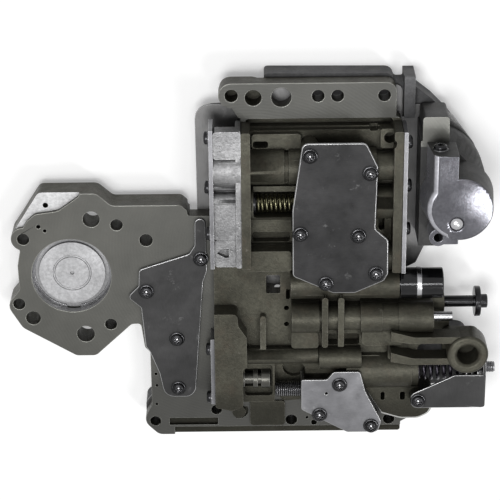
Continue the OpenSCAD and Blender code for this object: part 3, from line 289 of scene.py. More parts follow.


# Olive cast skin and its milled face, both with painted shade towards the lower side, the face also on the
# top bar
olive_cast = cast_metal("olive_cast", (0.042, 0.0405, 0.0315), (0.085, 0.0825, 0.064), (0.068, 0.057, 0.043),
                        (0.22, 0.21, 0.18), 0.4, (0.30, 0.46), 0.5, shine=0.1, painted_shade=0.8)
olive_face = machined_metal("olive_face", (0.050, 0.050, 0.043), (0.084, 0.083, 0.073), (0.047, 0.044, 0.036),
                            (0.36, 0.36, 0.33), 0.2, (0.40, 0.52), 0.3, painted_shade=0.7)
ledge_cast = cast_metal("ledge_cast", (0.36, 0.36, 0.36), (0.55, 0.55, 0.555), (0.40, 0.40, 0.40),
                        (0.75, 0.75, 0.75), 0.6, (0.34, 0.46), 0.4)
# Painted highlight: bright metal colour on the rounded lip under the regulator bracket
lip_highlight = machined_metal("lip_highlight", (0.34, 0.34, 0.33), (0.52, 0.52, 0.50), (0.30, 0.30, 0.29),
                           (0.7, 0.7, 0.68), 0.9, (0.2, 0.32), 0.2)
rim_metal = machined_metal("rim_metal", (0.095, 0.095, 0.086), (0.18, 0.18, 0.165), (0.08, 0.076, 0.065),
                           (0.46, 0.46, 0.42), 0.6, (0.26, 0.38), 0.2)
# Transfer plate: painted shade in its gaps and corners, over a long reach
dark_cast = cast_metal("dark_cast", (0.070, 0.070, 0.072), (0.125, 0.125, 0.128), (0.09, 0.085, 0.078),
                       (0.26, 0.26, 0.26), 0.15, (0.42, 0.6), 0.6, shade_reach=0.02)
# Painted shade: near-black cast colour for the governor housing and for the cover's walls other than its left
# side and top
drum_painted_shade = cast_metal("drum_painted_shade", (0.022, 0.022, 0.022), (0.045, 0.045, 0.044), (0.04, 0.037, 0.033),
                       (0.13, 0.13, 0.13), 0.1, (0.38, 0.5), 0.3)
raw_cast = cast_metal("raw_cast", (0.15, 0.15, 0.152), (0.315, 0.315, 0.318), (0.125, 0.125, 0.127),
                      (0.72, 0.72, 0.73), 0.6, (0.32, 0.48), 0.8, 0.5)
bright_cast = cast_metal("bright_cast", (0.325, 0.325, 0.33), (0.48, 0.48, 0.49), (0.29, 0.29, 0.295),
                         (0.66, 0.66, 0.67), 0.5, (0.38, 0.50), 0.25)
smooth_cast = cast_metal("smooth_cast", (0.100, 0.100, 0.112), (0.165, 0.165, 0.182), (0.124, 0.124, 0.137),
                         (0.40, 0.40, 0.42), 0.8, (0.11, 0.17), 0.05)
# Painted light: pale cast colour for the governor cover's left side and left shoulder, as if lit
flank_painted_light = cast_metal("flank_painted_light", (0.34, 0.34, 0.37), (0.46, 0.46, 0.49), (0.38, 0.38, 0.41),
                        (0.70, 0.70, 0.72), 0.7, (0.26, 0.36), 0.15)
dark_sheet = sheet_metal("dark_sheet", (0.020, 0.020, 0.0204), (0.042, 0.0415, 0.0424), (0.25, 0.25, 0.25),
                         (0.27, 0.40), (1, 14, 14))
grey_sheet = sheet_metal("grey_sheet", (0.029, 0.029, 0.0292), (0.053, 0.0525, 0.053), (0.24, 0.24, 0.24),
                         (0.32, 0.46), (14, 1, 14))
bright_sheet = sheet_metal("bright_sheet", (0.125, 0.125, 0.131), (0.25, 0.25, 0.262), (0.54, 0.54, 0.55),
                           (0.26, 0.38), (1, 14, 14))
plate_sheet = sheet_metal("plate_sheet", (0.095, 0.094, 0.094), (0.145, 0.144, 0.143), (0.30, 0.30, 0.30),
                          (0.32, 0.46), (14, 1, 14))
rubbed_edge = sheet_metal("rubbed_edge", (0.20, 0.20, 0.20), (0.40, 0.40, 0.40), (0.54, 0.54, 0.55),
                          (0.24, 0.36), (6, 6, 6))
screw_steel = turned_metal("screw_steel", (0.014, 0.014, 0.015), (0.034, 0.034, 0.036), (0.26, 0.26, 0.27),
                           0.9, (0.18, 0.3), (1, 1, 1), 0.00003)
washer_steel = turned_metal("washer_steel", (0.07, 0.07, 0.072), (0.15, 0.15, 0.155), (0.40, 0.40, 0.41),
                            0.9, (0.22, 0.36), (1, 1, 1), 0.00003)
zinc_steel = turned_metal("zinc_steel", (0.16, 0.16, 0.165), (0.27, 0.27, 0.28), (0.6, 0.6, 0.61),
                          0.95, (0.18, 0.3), (6, 0.2, 0.2), 0.00003)
ground_steel = turned_metal("ground_steel", (0.34, 0.34, 0.35), (0.50, 0.50, 0.51), (0.7, 0.7, 0.71),
                            1.0, (0.16, 0.28), (6, 0.2, 0.2), 0.00003)
oiled_rim = turned_metal("oiled_rim", (0.10, 0.10, 0.09), (0.17, 0.167, 0.15), (0.34, 0.34, 0.32),
                         0.7, (0.26, 0.4), (6, 0.2, 0.2), 0.00003)
oiled_steel = turned_metal("oiled_steel", (0.045, 0.045, 0.040), (0.085, 0.083, 0.072), (0.40, 0.40, 0.38),
                           0.7, (0.26, 0.4), (6, 0.2, 0.2), 0.00003)
black_oxide = turned_metal("black_oxide", (0.008, 0.008, 0.009), (0.020, 0.020, 0.022), (0.16, 0.16, 0.17),
                           0.6, (0.16, 0.28), (6, 0.2, 0.2), 0.00003)
gloss_black = turned_metal("gloss_black", (0.006, 0.006, 0.007), (0.014, 0.014, 0.015), (0.20, 0.20, 0.21),
                           0.5, (0.1, 0.16), (6, 0.2, 0.2), 0.00002)
spring_brass = turned_metal("spring_brass", (0.085, 0.080, 0.045), (0.17, 0.162, 0.10), (0.40, 0.39, 0.30),
                            0.95, (0.18, 0.3), (1, 1, 1), 0.00002)
dark_wire = turned_metal("dark_wire", (0.014, 0.012, 0.017), (0.035, 0.032, 0.040), (0.18, 0.17, 0.19),
                         0.8, (0.2, 0.32), (1, 1, 1), 0.00002)
seal_rubber = rubber_skin("seal_rubber")


def piece(node, bm, materials, body, angle=34):
    """Turns a bmesh into the piece that stands for a CAD node and rides on a body.

    Edges sharper than the angle, in degrees, are shaded sharp.
    """
    mesh = bpy.data.meshes.new(node + "_dressed")
    bm.normal_update()
    bm.to_mesh(mesh)
    bm.free()
    for material in materials:
        mesh.materials.append(material)
    obj = bpy.data.objects.new(node + "_dressed", mesh)
    bpy.context.scene.collection.objects.link(obj)
    mesh.polygons.foreach_set("use_smooth", [True] * len(mesh.polygons))
    mesh.set_sharp_from_angle(angle=math.radians(angle))
    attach(obj, body)
    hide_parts(node)
    return obj


def prism(outline, low, high):
    """A closed form over a flat outline that runs anticlockwise, between two heights."""
    bm = bmesh.new()
    base = [bm.verts.new((x, y, low)) for x, y in outline]
    top = [bm.verts.new((x, y, high)) for x, y in outline]
    stitch(bm, [base, top])
    bm.faces.new(list(reversed(base)))
    bm.faces.new(top)
    return bm


def disc(x, y, radius):
    """Points of a circle."""
    turns = [2 * math.pi * i / ROUND for i in range(ROUND)]
    return [(x + radius * math.cos(a), y + radius * math.sin(a)) for a in turns]


def held(bm):
    """A scratch object for a bmesh, which is freed."""
    mesh = bpy.data.meshes.new("scratch")
    bm.to_mesh(mesh)
    bm.free()
    obj = bpy.data.objects.new("scratch", mesh)
    bpy.context.scene.collection.objects.link(obj)
    return obj


def carved(bm, steps):
    """A bmesh after closed forms are joined to it or taken from it, in the order of the steps."""
    host = held(bm)
    tools = []
    for operation, form in steps:
        tool = held(form)
        tools.append(tool)
        step = host.modifiers.new("step", "BOOLEAN")
        step.object = tool
        step.operation = operation
        step.solver = "EXACT"
    found = host.evaluated_get(bpy.context.evaluated_depsgraph_get())
    out = bmesh.new()
    out.from_mesh(found.to_mesh())
    found.to_mesh_clear()
    for obj in [host] + tools:
        mesh = obj.data
        bpy.data.objects.remove(obj)
        bpy.data.meshes.remove(mesh)
    return out


def solid_of(node, cuts, choose, steps):
    """The CAD node's mesh as one welded bmesh with flat faces of one material joined."""
    bm = bmesh.new()
    bm.from_mesh(nodes[node].data)
    bmesh.ops.remove_doubles(bm, verts=bm.verts[:], dist=WELD)
    if steps:
        bm = carved(bm, steps)
        bmesh.ops.remove_doubles(bm, verts=bm.verts[:], dist=WELD)
        bmesh.ops.triangulate(bm, faces=bm.faces[:])
    for place, normal in cuts:
        cut_faces(bm, place, normal)
    bm.normal_update()
    for face in bm.faces:
        face.material_index = choose(face.calc_center_median(), face.normal) if choose else 0
    bmesh.ops.dissolve_limit(bm, angle_limit=math.radians(1.0), verts=bm.verts[:], edges=bm.edges[:],
                             delimit={"MATERIAL"})
    return bm


# Outer edges sharper than this are rounded
SHARP = math.radians(32)
# Steps across an edge that is rounded in its own way
WIDE_STEPS = 5


def outer_edges(bm):
    """Outer edges that are sharp enough to be rounded."""
    return [e for e in bm.edges if len(e.link_faces) == 2 and e.is_convex and e.calc_face_angle(0.0) > SHARP]


def rounded(bm, edges, width, segments, material):
    """Rounds edges. The new faces take the material's number, or with -1 that of the faces beside them."""
    bmesh.ops.bevel(bm, geom=edges, offset=width, segments=segments, profile=0.5, affect="EDGES",
                    clamp_overlap=False, loop_slide=False, material=material)


def cut_faces(bm, place, normal):
    """Cuts the faces along a plane, so that each side can take its own material."""
    bmesh.ops.bisect_plane(bm, geom=bm.verts[:] + bm.edges[:] + bm.faces[:], plane_co=place, plane_no=normal)


def dressed(node, materials, width, body=ROOT, choose=None, segments=2, special=(), cuts=(), steps=(),
            edge_material=-1):
    """A piece in the CAD node's place with rounded edges. choose gives each face its material's number.

    special lists edges that are rounded in their own way, by a test of an edge's middle, a width and a
    material's number. cuts are planes that part faces. steps are forms joined to the solid or taken from it.
    """
    bm = solid_of(node, cuts, choose, steps)
    for test, own_width, index in special:
        picked = [e for e in outer_edges(bm) if test((e.verts[0].co + e.verts[1].co) / 2)]
        rounded(bm, picked, own_width, WIDE_STEPS, index)
    rounded(bm, outer_edges(bm), width, segments, edge_material)
    obj = piece(node, bm, materials, body)
    flat = obj.modifiers.new("flat_faces", "WEIGHTED_NORMAL")
    flat.keep_sharp = True
    flat.weight = 80
    return obj


def crowned(obj, middle, radius, rise, step):
    """Raises a piece's level top into a shallow crown round a point."""
    bm = bmesh.new()
    bm.from_mesh(obj.data)
    top = max(v.co.z for v in bm.verts)

    def level_faces():
        return [f for f in bm.faces if f.normal.z > CROWN_UPRIGHT and f.calc_center_median().z > top - WELD]

    bmesh.ops.triangulate(bm, faces=level_faces())
    count = int(radius / step)
    for axis in (Vector((1, 0, 0)), Vector((0, 1, 0))):
        for k in range(-count, count + 1):
            faces = level_faces()
            edges = list({e for f in faces for e in f.edges})
            verts = list({v for f in faces for v in f.verts})
            bmesh.ops.bisect_plane(bm, geom=verts + edges + faces, plane_co=middle + axis * (k * step),
                                   plane_no=axis)
    for v in bm.verts:
        out = (v.co.xy - middle.xy).length / radius
        if v.co.z > top - WELD and out < 1:
            v.co.z += rise * (1 - out * out)
    bm.to_mesh(obj.data)
    bm.free()


def stitch(bm, rings):
    """Joins rings of points, each of one size or a single point."""
    for low, high in zip(rings, rings[1:]):
        n = max(len(low), len(high))
        for i in range(n):
            k = (i + 1) % n
            if len(low) == 1:
                bm.faces.new((low[0], high[k], high[i]))
            elif len(high) == 1:
                bm.faces.new((low[i], low[k], high[0]))
            else:
                bm.faces.new((low[i], low[k], high[k], high[i]))


def along_x(x, y, z):
    """Places a form that was made along Z so that it runs along +X from that point."""
    return Matrix.Translation((x, y, z)) @ Matrix.Rotation(math.pi / 2, 4, "Y")


def islands(node):
    """Lowest and highest corner of each separate solid of a CAD node."""
    bm = bmesh.new()
    bm.from_mesh(nodes[node].data)
    bmesh.ops.remove_doubles(bm, verts=bm.verts[:], dist=WELD)
    found, seen = [], set()
    for start in bm.verts:
        if start in seen:
            continue
        seen.add(start)
        group, wait = [], [start]
        while wait:
            v = wait.pop()
            group.append(v.co.copy())
            for e in v.link_edges:
                other = e.other_vert(v)
                if other not in seen:
                    seen.add(other)
                    wait.append(other)
        low = Vector([min(c[i] for c in group) for i in range(3)])
        high = Vector([max(c[i] for c in group) for i in range(3)])
        found.append((low, high))
    bm.free()
    return found


# Height of a screw's head
HEAD_H = 3.0 * MM
# In millimetres: washer and head as radius and height, then the star recess as radius, wave and height
HEAD_PROFILE = [(4.72, 0.0), (4.75, 0.18), (4.6, 0.55), (4.2, 0.78), (3.86, 0.82), (3.88, 1.0), (3.86, 1.9),
                (3.7, 2.35), (3.3, 2.72), (2.75, 2.93), (2.5, 3.0)]
STAR_STEPS = [(2.12, 0.30, 2.985), (1.95, 0.34, 2.8), (1.88, 0.36, 1.4), (1.15, 0.0, 1.2), (0.7, 0.0, 1.6)]
STAR_POINTS = 6
# Height of the recess's raised middle, in millimetres
RECESS_MIDDLE = 1.75
# In millimetres: the radius that holds the recess's floor and the height it lies above, and the rim's height
FLOOR_R = 1.3
FLOOR_H = 0.5
WASHER_H = 0.8
# Shank's radius, its tip's radius and its chamfer's height, in millimetres
SHANK_R = 2.35
TIP_R = 2.0
TIP_H = 0.4
# Turn of a node's first screw and of each next one, in radians, so that their recesses don't line up
FIRST_TURN = 0.2
NEXT_TURN = 0.7
# Axis that the heads face along, their sense on it, and the turn that brings +Z there
HEAD_WAYS = {
    "up": (2, 1, Matrix.Identity(4)),
    "down": (2, -1, Matrix.Rotation(math.pi, 4, "X")),
    "back": (1, 1, Matrix.Rotation(-math.pi / 2, 4, "X")),
    "left": (0, -1, Matrix.Rotation(-math.pi / 2, 4, "Y")),
    "right": (0, 1, Matrix.Rotation(math.pi / 2, 4, "Y")),
}


def screw_at(bm, matrix, shank):
    """Adds a pan-head screw with a star recess and a captive washer, with its seat at z = 0."""
    rings = []

    def ring(radius, wave, height):
        points = []
        for i in range(ROUND):
            a = 2 * math.pi * i / ROUND
            r = (radius + wave * math.cos(STAR_POINTS * a)) * MM
            points.append(bm.verts.new(matrix @ Vector((r * math.cos(a), r * math.sin(a), height * MM))))
        rings.append(points)

    rings.append([bm.verts.new(matrix @ Vector((0, 0, -shank)))])
    ring(TIP_R, 0, -shank / MM)
    ring(SHANK_R, 0, -shank / MM + TIP_H)
    ring(SHANK_R, 0, 0.0)
    for radius, height in HEAD_PROFILE:
        ring(radius, 0, height)
    for radius, wave, height in STAR_STEPS:
        ring(radius, wave, height)
    rings.append([bm.verts.new(matrix @ Vector((0, 0, RECESS_MIDDLE * MM)))])
    stitch(bm, rings)
    bm.normal_update()
    away = matrix.to_quaternion() @ Vector((0, 0, 1))
    base = matrix.translation
    # The recess's floor takes the second material, bright steel as a painted glint, and the washer's rim the
    # third
    for ring_number, index in ((-2, 1), (-3, 1), (4, 2), (5, 2)):
        for v in rings[ring_number]:
            for face in v.link_faces:
                middle = face.calc_center_median() - base
                high = middle.dot(away)
                out = (middle - away * high).length
                if index == 1 and out < FLOOR_R * MM and high > FLOOR_H * MM:
                    face.material_index = 1
                if index == 2 and 0 < high < WASHER_H * MM:
                    face.material_index = 2


def screws(node, way):
    """Detailed screws in the places of a CAD node's solids. way is the side that the heads face."""
    axis, sense, turned = HEAD_WAYS[way]
    bm = bmesh.new()
    for number, (low, high) in enumerate(islands(node)):
        seat = (low + high) / 2
        seat[axis] = high[axis] - HEAD_H if sense > 0 else low[axis] + HEAD_H
        shank = high[axis] - HEAD_H - low[axis]
        spin = Matrix.Rotation(NEXT_TURN * number + FIRST_TURN, 4, "Z")
        screw_at(bm, Matrix.Translation(seat) @ turned @ spin, shank)
    piece(node, bm, [screw_steel, ground_steel, washer_steel], ROOT, 40)


# Steps in one turn of a spring, and sides of its wire
TURN_STEPS = 28
WIRE_SIDES = 10
# Rise of a closed turn as a share of the wire's thickness
CLOSED_RISE = 0.9


def spring(node, wire, turns, material, way="x"):
    """A coil spring with closed, ground ends in a CAD node's place.

    wire is the wire's radius.
    """
    low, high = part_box(node)
    mid = (low + high) / 2
    if way == "x":
        length = high.x - low.x
        radius = (high.y - low.y) / 2 - wire
        matrix = along_x(low.x, mid.y, mid.z)
    else:
        length = high.z - low.z
        radius = (high.x - low.x) / 2 - wire
        matrix = Matrix.Translation((mid.x, mid.y, low.z))
    # Share of a turn that lies closed at each end, less on a short spring
    closed = 0.8 if turns > 3 else 0.5
    total = int(turns * TURN_STEPS)
    tight = 2 * wire * CLOSED_RISE
    rise_mid = length - 2 * wire - 2 * closed * tight

    def height(t):
        if t < closed:
            return wire + tight * t
        if t > turns - closed:
            return length - wire - tight * (turns - t)
        return wire + closed * tight + rise_mid * (t - closed) / (turns - 2 * closed)

    bm = bmesh.new()
    rings = []
    for i in range(total + 1):
        t = i / TURN_STEPS
        a = 2 * math.pi * t
        out = Vector((math.cos(a), math.sin(a), 0))
        centre = out * radius + Vector((0, 0, height(t)))
        ring = []
        for j in range(WIRE_SIDES):
            b = 2 * math.pi * j / WIRE_SIDES
            p = centre + (out * math.cos(b) + Vector((0, 0, math.sin(b)))) * wire
            p.z = min(max(p.z, 0.0), length)
            ring.append(bm.verts.new(matrix @ p))
        rings.append(ring)
    stitch(bm, rings)
    bm.faces.new(rings[0])
    bm.faces.new(list(reversed(rings[-1])))
    bmesh.ops.recalc_face_normals(bm, faces=bm.faces[:])
    obj = piece(node, bm, [material], ROOT, 60)
    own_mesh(obj)


# Rings in one pitch of a thread, and the outer share of its depth that counts as the crest
PITCH_STEPS = 8
CREST_SHARE = 0.35


def thread(node, materials, body, pitch, depth, socket):
    """A threaded screw along X in the place of a CAD node, with a six-sided socket in its right end.

    The second material, if there is one, goes on the crests as a painted highlight.
    """
    low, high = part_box(node)
    length = high.x - low.x
    crest = (high.z - low.z) / 2
    matrix = along_x(low.x, (low.y + high.y) / 2, (low.z + high.z) / 2)
    count = int(round(length / pitch * PITCH_STEPS))
    bm = bmesh.new()

    def ring(radius_at, z):
        points = []
        for j in range(ROUND):
            a = 2 * math.pi * j / ROUND
            r = radius_at(j, a)
            points.append(bm.verts.new(matrix @ Vector((r * math.cos(a), r * math.sin(a), z))))
        return points

    def toothed(z):
        """Radius along a ring through the thread, which fades out at both ends."""
        fade = min(1.0, min(z, length - z) / (1.1 * pitch))

        def radius_at(j, a):
            phase = (z / pitch - j / ROUND) % 1.0
            tooth = min(1.0, max(0.0, 1.4 * (1 - abs(2 * phase - 1)) - 0.2))
            return crest - depth * (1.0 - tooth * fade)
        return radius_at

    def six_sided(j, a):
        return socket * math.cos(math.pi / 6) / math.cos(a % (math.pi / 3) - math.pi / 6)

    rings = [[bm.verts.new(matrix @ Vector((0, 0, 0)))]]
    for i in range(count + 1):
        z = length * i / count
        rings.append(ring(toothed(z), z))
    rings.append(ring(six_sided, length))
    rings.append(ring(six_sided, length - socket))
    rings.append([bm.verts.new(matrix @ Vector((0, 0, length - socket)))])
    stitch(bm, rings)
    axis = matrix.translation.yz
    for face in bm.faces:
        inner = min((v.co.yz - axis).length for v in face.verts)
        if len(materials) > 1 and inner > crest - CREST_SHARE * depth:
            face.material_index = 1
    piece(node, bm, materials, body, 50)


# Middles of the governor cover, the accumulator's bore and the lever boss
COVER_AT = (121.2 * MM, 40.5 * MM)
BORE_AT = (-107.8 * MM, -15.9 * MM)
BOSS_AT = (130.2 * MM, -59.5 * MM)
# The bore's walls lie within this reach of its middle and above this height
BORE_REACH = 26.5 * MM
BORE_Z = 12 * MM
# The boss's rim lies within this reach of its middle and more than this above the milled face
BOSS_REACH = 13 * MM
BOSS_RISE = 24 * MM
# Limits of the milled faces: the wing's right and lower, the bar's lower and the flange's upper one
WING_EDGE = -55 * MM
WING_LOW = -70 * MM
BAR_EDGE = 83.4 * MM
FLANGE_EDGE = -98 * MM
# Height of the wing's ledge, and a limit to its right
LEDGE_Z = FACE_Z - 2.5 * MM
LEDGE_LIMIT = -90 * MM
# The governor cover's rounded shoulder: least way left of its middle, least height, and upper limit
SHOULDER_OUT = 7 * MM
SHOULDER_Z = 63.4 * MM
SHOULDER_TOP = 73.3 * MM
# Height of the base's lip above the milled face, and limits on its left and on its upper side
LIP_RISE = 7 * MM
LIP_LEFT = 79 * MM
LIP_TOP = -104 * MM
# Cut across the governor housing, and the place along Y past which its level faces are paler
DRUM_CUT = 70.7 * MM
DRUM_LIMIT = 70 * MM
# The regulator bracket's bend lies right of this place and above this height
BEND_X = 141.4 * MM
BEND_Z = 40.7 * MM
# The accumulator piston's outer edge lies further than this from the bore's middle
PISTON_EDGE = 20 * MM
# The solenoid's right end, and how near to it an edge counts as the end's own
SOLENOID_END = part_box("solenoid_body")[1].x
SOLENOID_NEAR = 0.05 * MM


def housing_material(place, normal):
    """Milled face, bare metal on the wing's ledge and in the accumulator's bore, and the rest as cast."""
    if normal.z < UPRIGHT:
        in_bore = (place.xy - Vector(BORE_AT)).length < BORE_REACH and place.z > BORE_Z
        return 4 if in_bore else 0
    if abs(place.z - LEDGE_Z) < LEVEL and place.x < LEDGE_LIMIT and place.y > 0:
        return 4
    if abs(place.z - FACE_Z) > LEVEL:
        return 0
    return 1 if place.x < 0 or place.y > BAR_EDGE or place.y < FLANGE_EDGE else 0


def milled_edge(middle):
    """Edges of the milled bar and wing faces and of the holes in them."""
    milled = middle.y > BAR_EDGE or (middle.x < WING_EDGE and middle.y > WING_LOW)
    return abs(middle.z - FACE_Z) < LEVEL and milled


def cover_material(place, normal):
    """The governor cover's top is smooth, its left side painted bright as if lit and its other walls painted
    dark as if shaded.
    """
    if normal.z > 0.5:
        return 0
    return 1 if normal.x < -0.4 else 2


def cover_shoulder(middle):
    """Upper edges on the left of the governor cover, which take the painted-light flank colour."""
    return middle.x < COVER_AT[0] - SHOULDER_OUT and middle.z > SHOULDER_Z and middle.y < SHOULDER_TOP


def lip_edge(middle):
    """Lower edge of the base under the regulator bracket, rounded wide and painted bright as a highlight."""
    return abs(middle.z - FACE_Z - LIP_RISE) < LEVEL and middle.x > LIP_LEFT and middle.y < LIP_TOP


def boss_edge(middle):
    """Edges of the lever boss's face and countersink."""
    out = (middle.xy - Vector(BOSS_AT)).length
    return middle.z > FACE_Z + BOSS_RISE and out < BOSS_REACH


def bracket_bend(middle):
    """Edges of the regulator bracket's bend."""
    return middle.x > BEND_X and middle.z > BEND_Z


def piston_edge(middle):
    """The accumulator piston's outer edge."""
    return (middle.xy - Vector(BORE_AT)).length > PISTON_EDGE


def solenoid_edge(middle):
    """The edge round the solenoid's right end."""
    return middle.x > SOLENOID_END - SOLENOID_NEAR


def drum_material(place, normal):
    """The governor housing is painted dark as if shaded, with paler level faces at its upper end."""
    return 1 if normal.z > UPRIGHT and place.y > DRUM_LIMIT else 0


# The lobe round the wing's upper left bolt hole, and the small hole in the ledge: middles and radii
LOBE_AT = (-135.7 * MM, 8.4 * MM)
LOBE_R = 7.4 * MM
LOBE_HOLE_R = 3.6 * MM
LEDGE_HOLE_AT = (-121.5 * MM, 29.4 * MM)
LEDGE_HOLE_R = 1.6 * MM
# The source's trough in the flange is filled and one further right is cut: corners in millimetres
TROUGH_FILL = ((-56.7, -119.4, 21.5), (-27.6, -113.2, 26))
TROUGH = ((-51.2, -118.9, 23.6), (-21, -114, 27))


def block(low, high):
    """A box between two corners in millimetres."""
    low, high = Vector(low) * MM, Vector(high) * MM
    return prism([(low.x, low.y), (high.x, low.y), (high.x, high.y), (low.x, high.y)], low.z, high.z)


# Castings
housing_steps = (
    ("UNION", prism(disc(*LOBE_AT, LOBE_R), FACE_Z - 18 * MM, FACE_Z)),
    ("DIFFERENCE", prism(disc(*LOBE_AT, LOBE_HOLE_R), FACE_Z - 19 * MM, FACE_Z + 1 * MM)),
    ("DIFFERENCE", prism(disc(*LEDGE_HOLE_AT, LEDGE_HOLE_R), LEDGE_Z - 6 * MM, LEDGE_Z + 1 * MM)),
    ("UNION", block(*TROUGH_FILL)),
    ("DIFFERENCE", block(*TROUGH)),
)
dressed("valve_housing", [olive_cast, olive_face, lip_highlight, rim_metal, ledge_cast],
        0.14 * MM, choose=housing_material, steps=housing_steps,
        special=((lip_edge, 1.4 * MM, 2), (boss_edge, 0.7 * MM, -1), (milled_edge, 0.35 * MM, 3)),
        cuts=(((0, BAR_EDGE, 0), (0, 1, 0)),))
dressed("transfer_plate", [dark_cast], 0.12 * MM)
# Governor housing: painted shade over its dark body
dressed("governor_housing", [drum_painted_shade, rim_metal], 0.25 * MM, segments=3,
        choose=drum_material, cuts=(((0, DRUM_CUT, 0), (0, 1, 0)),))
# Governor cover: painted light on its left side and shoulder, painted shade on its other walls
governor_cover = dressed("governor_cover", [smooth_cast, flank_painted_light, drum_painted_shade], 0.5 * MM,
                         segments=3, choose=cover_material, special=((cover_shoulder, 2.4 * MM, 1),))
crowned(governor_cover, Vector((COVER_AT[0], COVER_AT[1], 0)), 19 * MM, 0.7 * MM, 2 * MM)
dressed("shift_end_cover", [raw_cast], 0.12 * MM)

# Sheet parts
dressed("separator_plate", [plate_sheet], 0.12 * MM)
dressed("left_cover", [grey_sheet, rubbed_edge], 0.5 * MM, edge_material=1, segments=3)
dressed("centre_cover", [dark_sheet, rubbed_edge], 0.7 * MM, edge_material=1, segments=3)
dressed("regulator_bracket", [grey_sheet, rubbed_edge], 0.4 * MM, edge_material=1,
        special=((bracket_bend, 0.8 * MM, -1),))
dressed("throttle_bracket", [bright_sheet, rubbed_edge], 0.4 * MM, edge_material=1)
for plate_node in ("left_end_plate", "lower_end_plate", "right_end_plate"):
    dressed(plate_node, [bright_sheet], 0.14 * MM)

# Screws
for screw_node in ("centre_cover_screws", "left_cover_screws", "throttle_bracket_screws",
                   "regulator_bracket_screw"):
    screws(screw_node, "up")
screws("governor_screw", "back")
screws("transfer_screws", "down")
for screw_node in ("left_end_screws", "lower_end_screws"):
    screws(screw_node, "left")
screws("right_end_screws", "right")

# Valves and turned pieces
for valve in ("shift_valve_1", "shift_valve_2", "shift_valve_3", "kickdown_valve", "regulator_valve"):
    dressed(valve, [ground_steel], 0.25 * MM, body=valve)
dressed("throttle_valve", [oiled_steel, oiled_rim], 0.4 * MM, body="throttle_valve",
        edge_material=1)
dressed("kickdown_bush", [ground_steel], 0.2 * MM)
dressed("governor_pin", [ground_steel], 0.2 * MM)
dressed("solenoid_band", [ground_steel], 0.15 * MM)
dressed("check_balls", [ground_steel], 0.01 * MM)
dressed("shift_plug_2", [black_oxide], 0.3 * MM)
dressed("solenoid_body", [gloss_black], 0.12 * MM, segments=3,
        special=((solenoid_edge, 0.9 * MM, -1),))
dressed("manual_valve", [black_oxide], 0.6 * MM, body="manual_valve", segments=3)
dressed("accumulator_snap_ring", [zinc_steel], 0.2 * MM)
dressed("regulator_spring_seat", [screw_steel], 0.3 * MM)
thread("line_pressure_screw", [zinc_steel], "line_pressure_screw", 1.0 * MM, 0.45 * MM,
       1.9 * MM)
# Painted highlight: pale steel on the crests of the throttle stud's thread
thread("throttle_screw", [black_oxide, zinc_steel], "throttle_screw", 1.2 * MM, 0.6 * MM,
       2.4 * MM)
dressed("accumulator_piston", [bright_cast], 0.05 * MM, body="accumulator_piston",
        special=((piston_edge, 0.4 * MM, -1),))
dressed("accumulator_seal", [seal_rubber], 0.3 * MM, body="accumulator_piston")

# Springs
spring("shift_spring_1", 0.8 * MM, 9, spring_brass)
spring("shift_spring_2", 0.75 * MM, 16, spring_brass)
spring("shift_spring_3", 0.7 * MM, 9, spring_brass)
spring("kickdown_spring", 0.6 * MM, 5.5, spring_brass)
spring("throttle_spring", 0.7 * MM, 4.5, spring_brass)
spring("regulator_spring", 1.1 * MM, 9, dark_wire)
spring("accumulator_spring", 0.9 * MM, 2.5, spring_brass,
       way="z")

# Floor, just below the part
FLOOR_CORNERS = ((-4, -4), (4, -4), (4, 4), (-4, 4))
FLOOR_Z = -0.0002
FLOOR_GLOW = 0.30
floor_mesh = bpy.data.meshes.new("floor")
floor_mesh.from_pydata([(x, y, FLOOR_Z) for x, y in FLOOR_CORNERS], [], [(0, 1, 2, 3)])
floor = bpy.data.objects.new("floor", floor_mesh)
bpy.context.scene.collection.objects.link(floor)


def seen_rays(tree):
    """1 for camera, glossy and transmission rays, and 0 for the rest."""
    rays = tree.nodes.new("ShaderNodeLightPath")
    total = rays.outputs["Is Camera Ray"]
    for name in ("Is Glossy Ray", "Is Transmission Ray"):
        node = tree.nodes.new("ShaderNodeMath")
        node.operation = "MAXIMUM"
        tree.links.new(total, node.inputs[0])
        tree.links.new(rays.outputs[name], node.inputs[1])
        total = node.outputs[0]
    return total


floor_surface = Surface("floor")
pale = floor_surface.mix(floor_surface.noise(3), (0.79, 0.79, 0.79), (0.81, 0.81, 0.81))
floor_surface.set("Base Color", floor_surface.mix(seen_rays(floor_surface.tree), (0.2, 0.2, 0.2), pale))
floor_surface.set("Roughness", 0.9)
floor_surface.set("Specular IOR Level", 0.0)
floor_surface.set("Emission Color", (1, 1, 1, 1))
glow = floor_surface.combine("MULTIPLY", seen_rays(floor_surface.tree), FLOOR_GLOW)
floor_surface.set("Emission Strength", glow)
floor_mesh.materials.append(floor_surface.made)

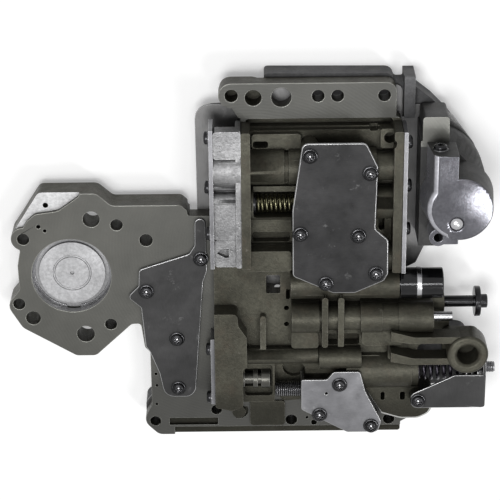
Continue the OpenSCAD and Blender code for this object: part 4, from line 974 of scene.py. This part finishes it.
# World: a dim even light on the object, and white where it is seen or mirrored
SKY_DIM = 0.26
SKY_SEEN = 1.0
world = bpy.data.worlds.new("studio")
bpy.context.scene.world = world
world.use_nodes = True
sky = world.node_tree.nodes["Background"]
level = world.node_tree.nodes.new("ShaderNodeMapRange")
world.node_tree.links.new(seen_rays(world.node_tree), level.inputs["Value"])
level.inputs["To Min"].default_value = SKY_DIM
level.inputs["To Max"].default_value = SKY_SEEN
sky.inputs["Color"].default_value = (1, 1, 1, 1)
world.node_tree.links.new(level.outputs["Result"], sky.inputs["Strength"])


def lamp(name, place, aim, size, power):
    """A soft light as wide and high as the two sizes."""
    data = bpy.data.lights.new(name, "AREA")
    data.shape = "RECTANGLE"
    data.size, data.size_y = size
    data.energy = power
    obj = bpy.data.objects.new(name, data)
    bpy.context.scene.collection.objects.link(obj)
    obj.location = place
    obj.rotation_mode = "QUATERNION"
    obj.rotation_quaternion = (Vector(aim) - Vector(place)).to_track_quat("-Z", "Y")


lamp("key", (-0.15, 0.07, 1.15), (0, 0, 0.02), (0.45, 0.45), 7.4)
lamp("strip", (0.205, 0.22, 1.12), (0.205, 0, 0.02), (0.06, 0.2), 0.9)
lamp("fill", (0.43, -0.36, 0.98), (0, 0, 0.02), (0.14, 0.34), 2.6)

# Camera: its tilt from straight above, its roll, and its distance from the origin at the face's height
TILT = math.radians(24)
ROLL = math.radians(0.6)
AWAY = 1.2
back = Vector((0, math.sin(TILT), math.cos(TILT)))
level_up = Vector((0, math.cos(TILT), -math.sin(TILT)))
level_right = Vector((1, 0, 0))
right = level_right * math.cos(ROLL) - level_up * math.sin(ROLL)
up = level_right * math.sin(ROLL) + level_up * math.cos(ROLL)
camera_data = bpy.data.cameras.new("camera")
camera_data.sensor_width = 36
camera_data.lens = 144
camera = bpy.data.objects.new("camera", camera_data)
bpy.context.scene.collection.objects.link(camera)
turn = Matrix((right, up, back)).transposed().to_4x4()
camera.matrix_world = Matrix.Translation(Vector((0, 0, FACE_Z)) + back * AWAY) @ turn
bpy.context.scene.camera = camera
bpy.context.scene.view_settings.view_transform = "Standard"
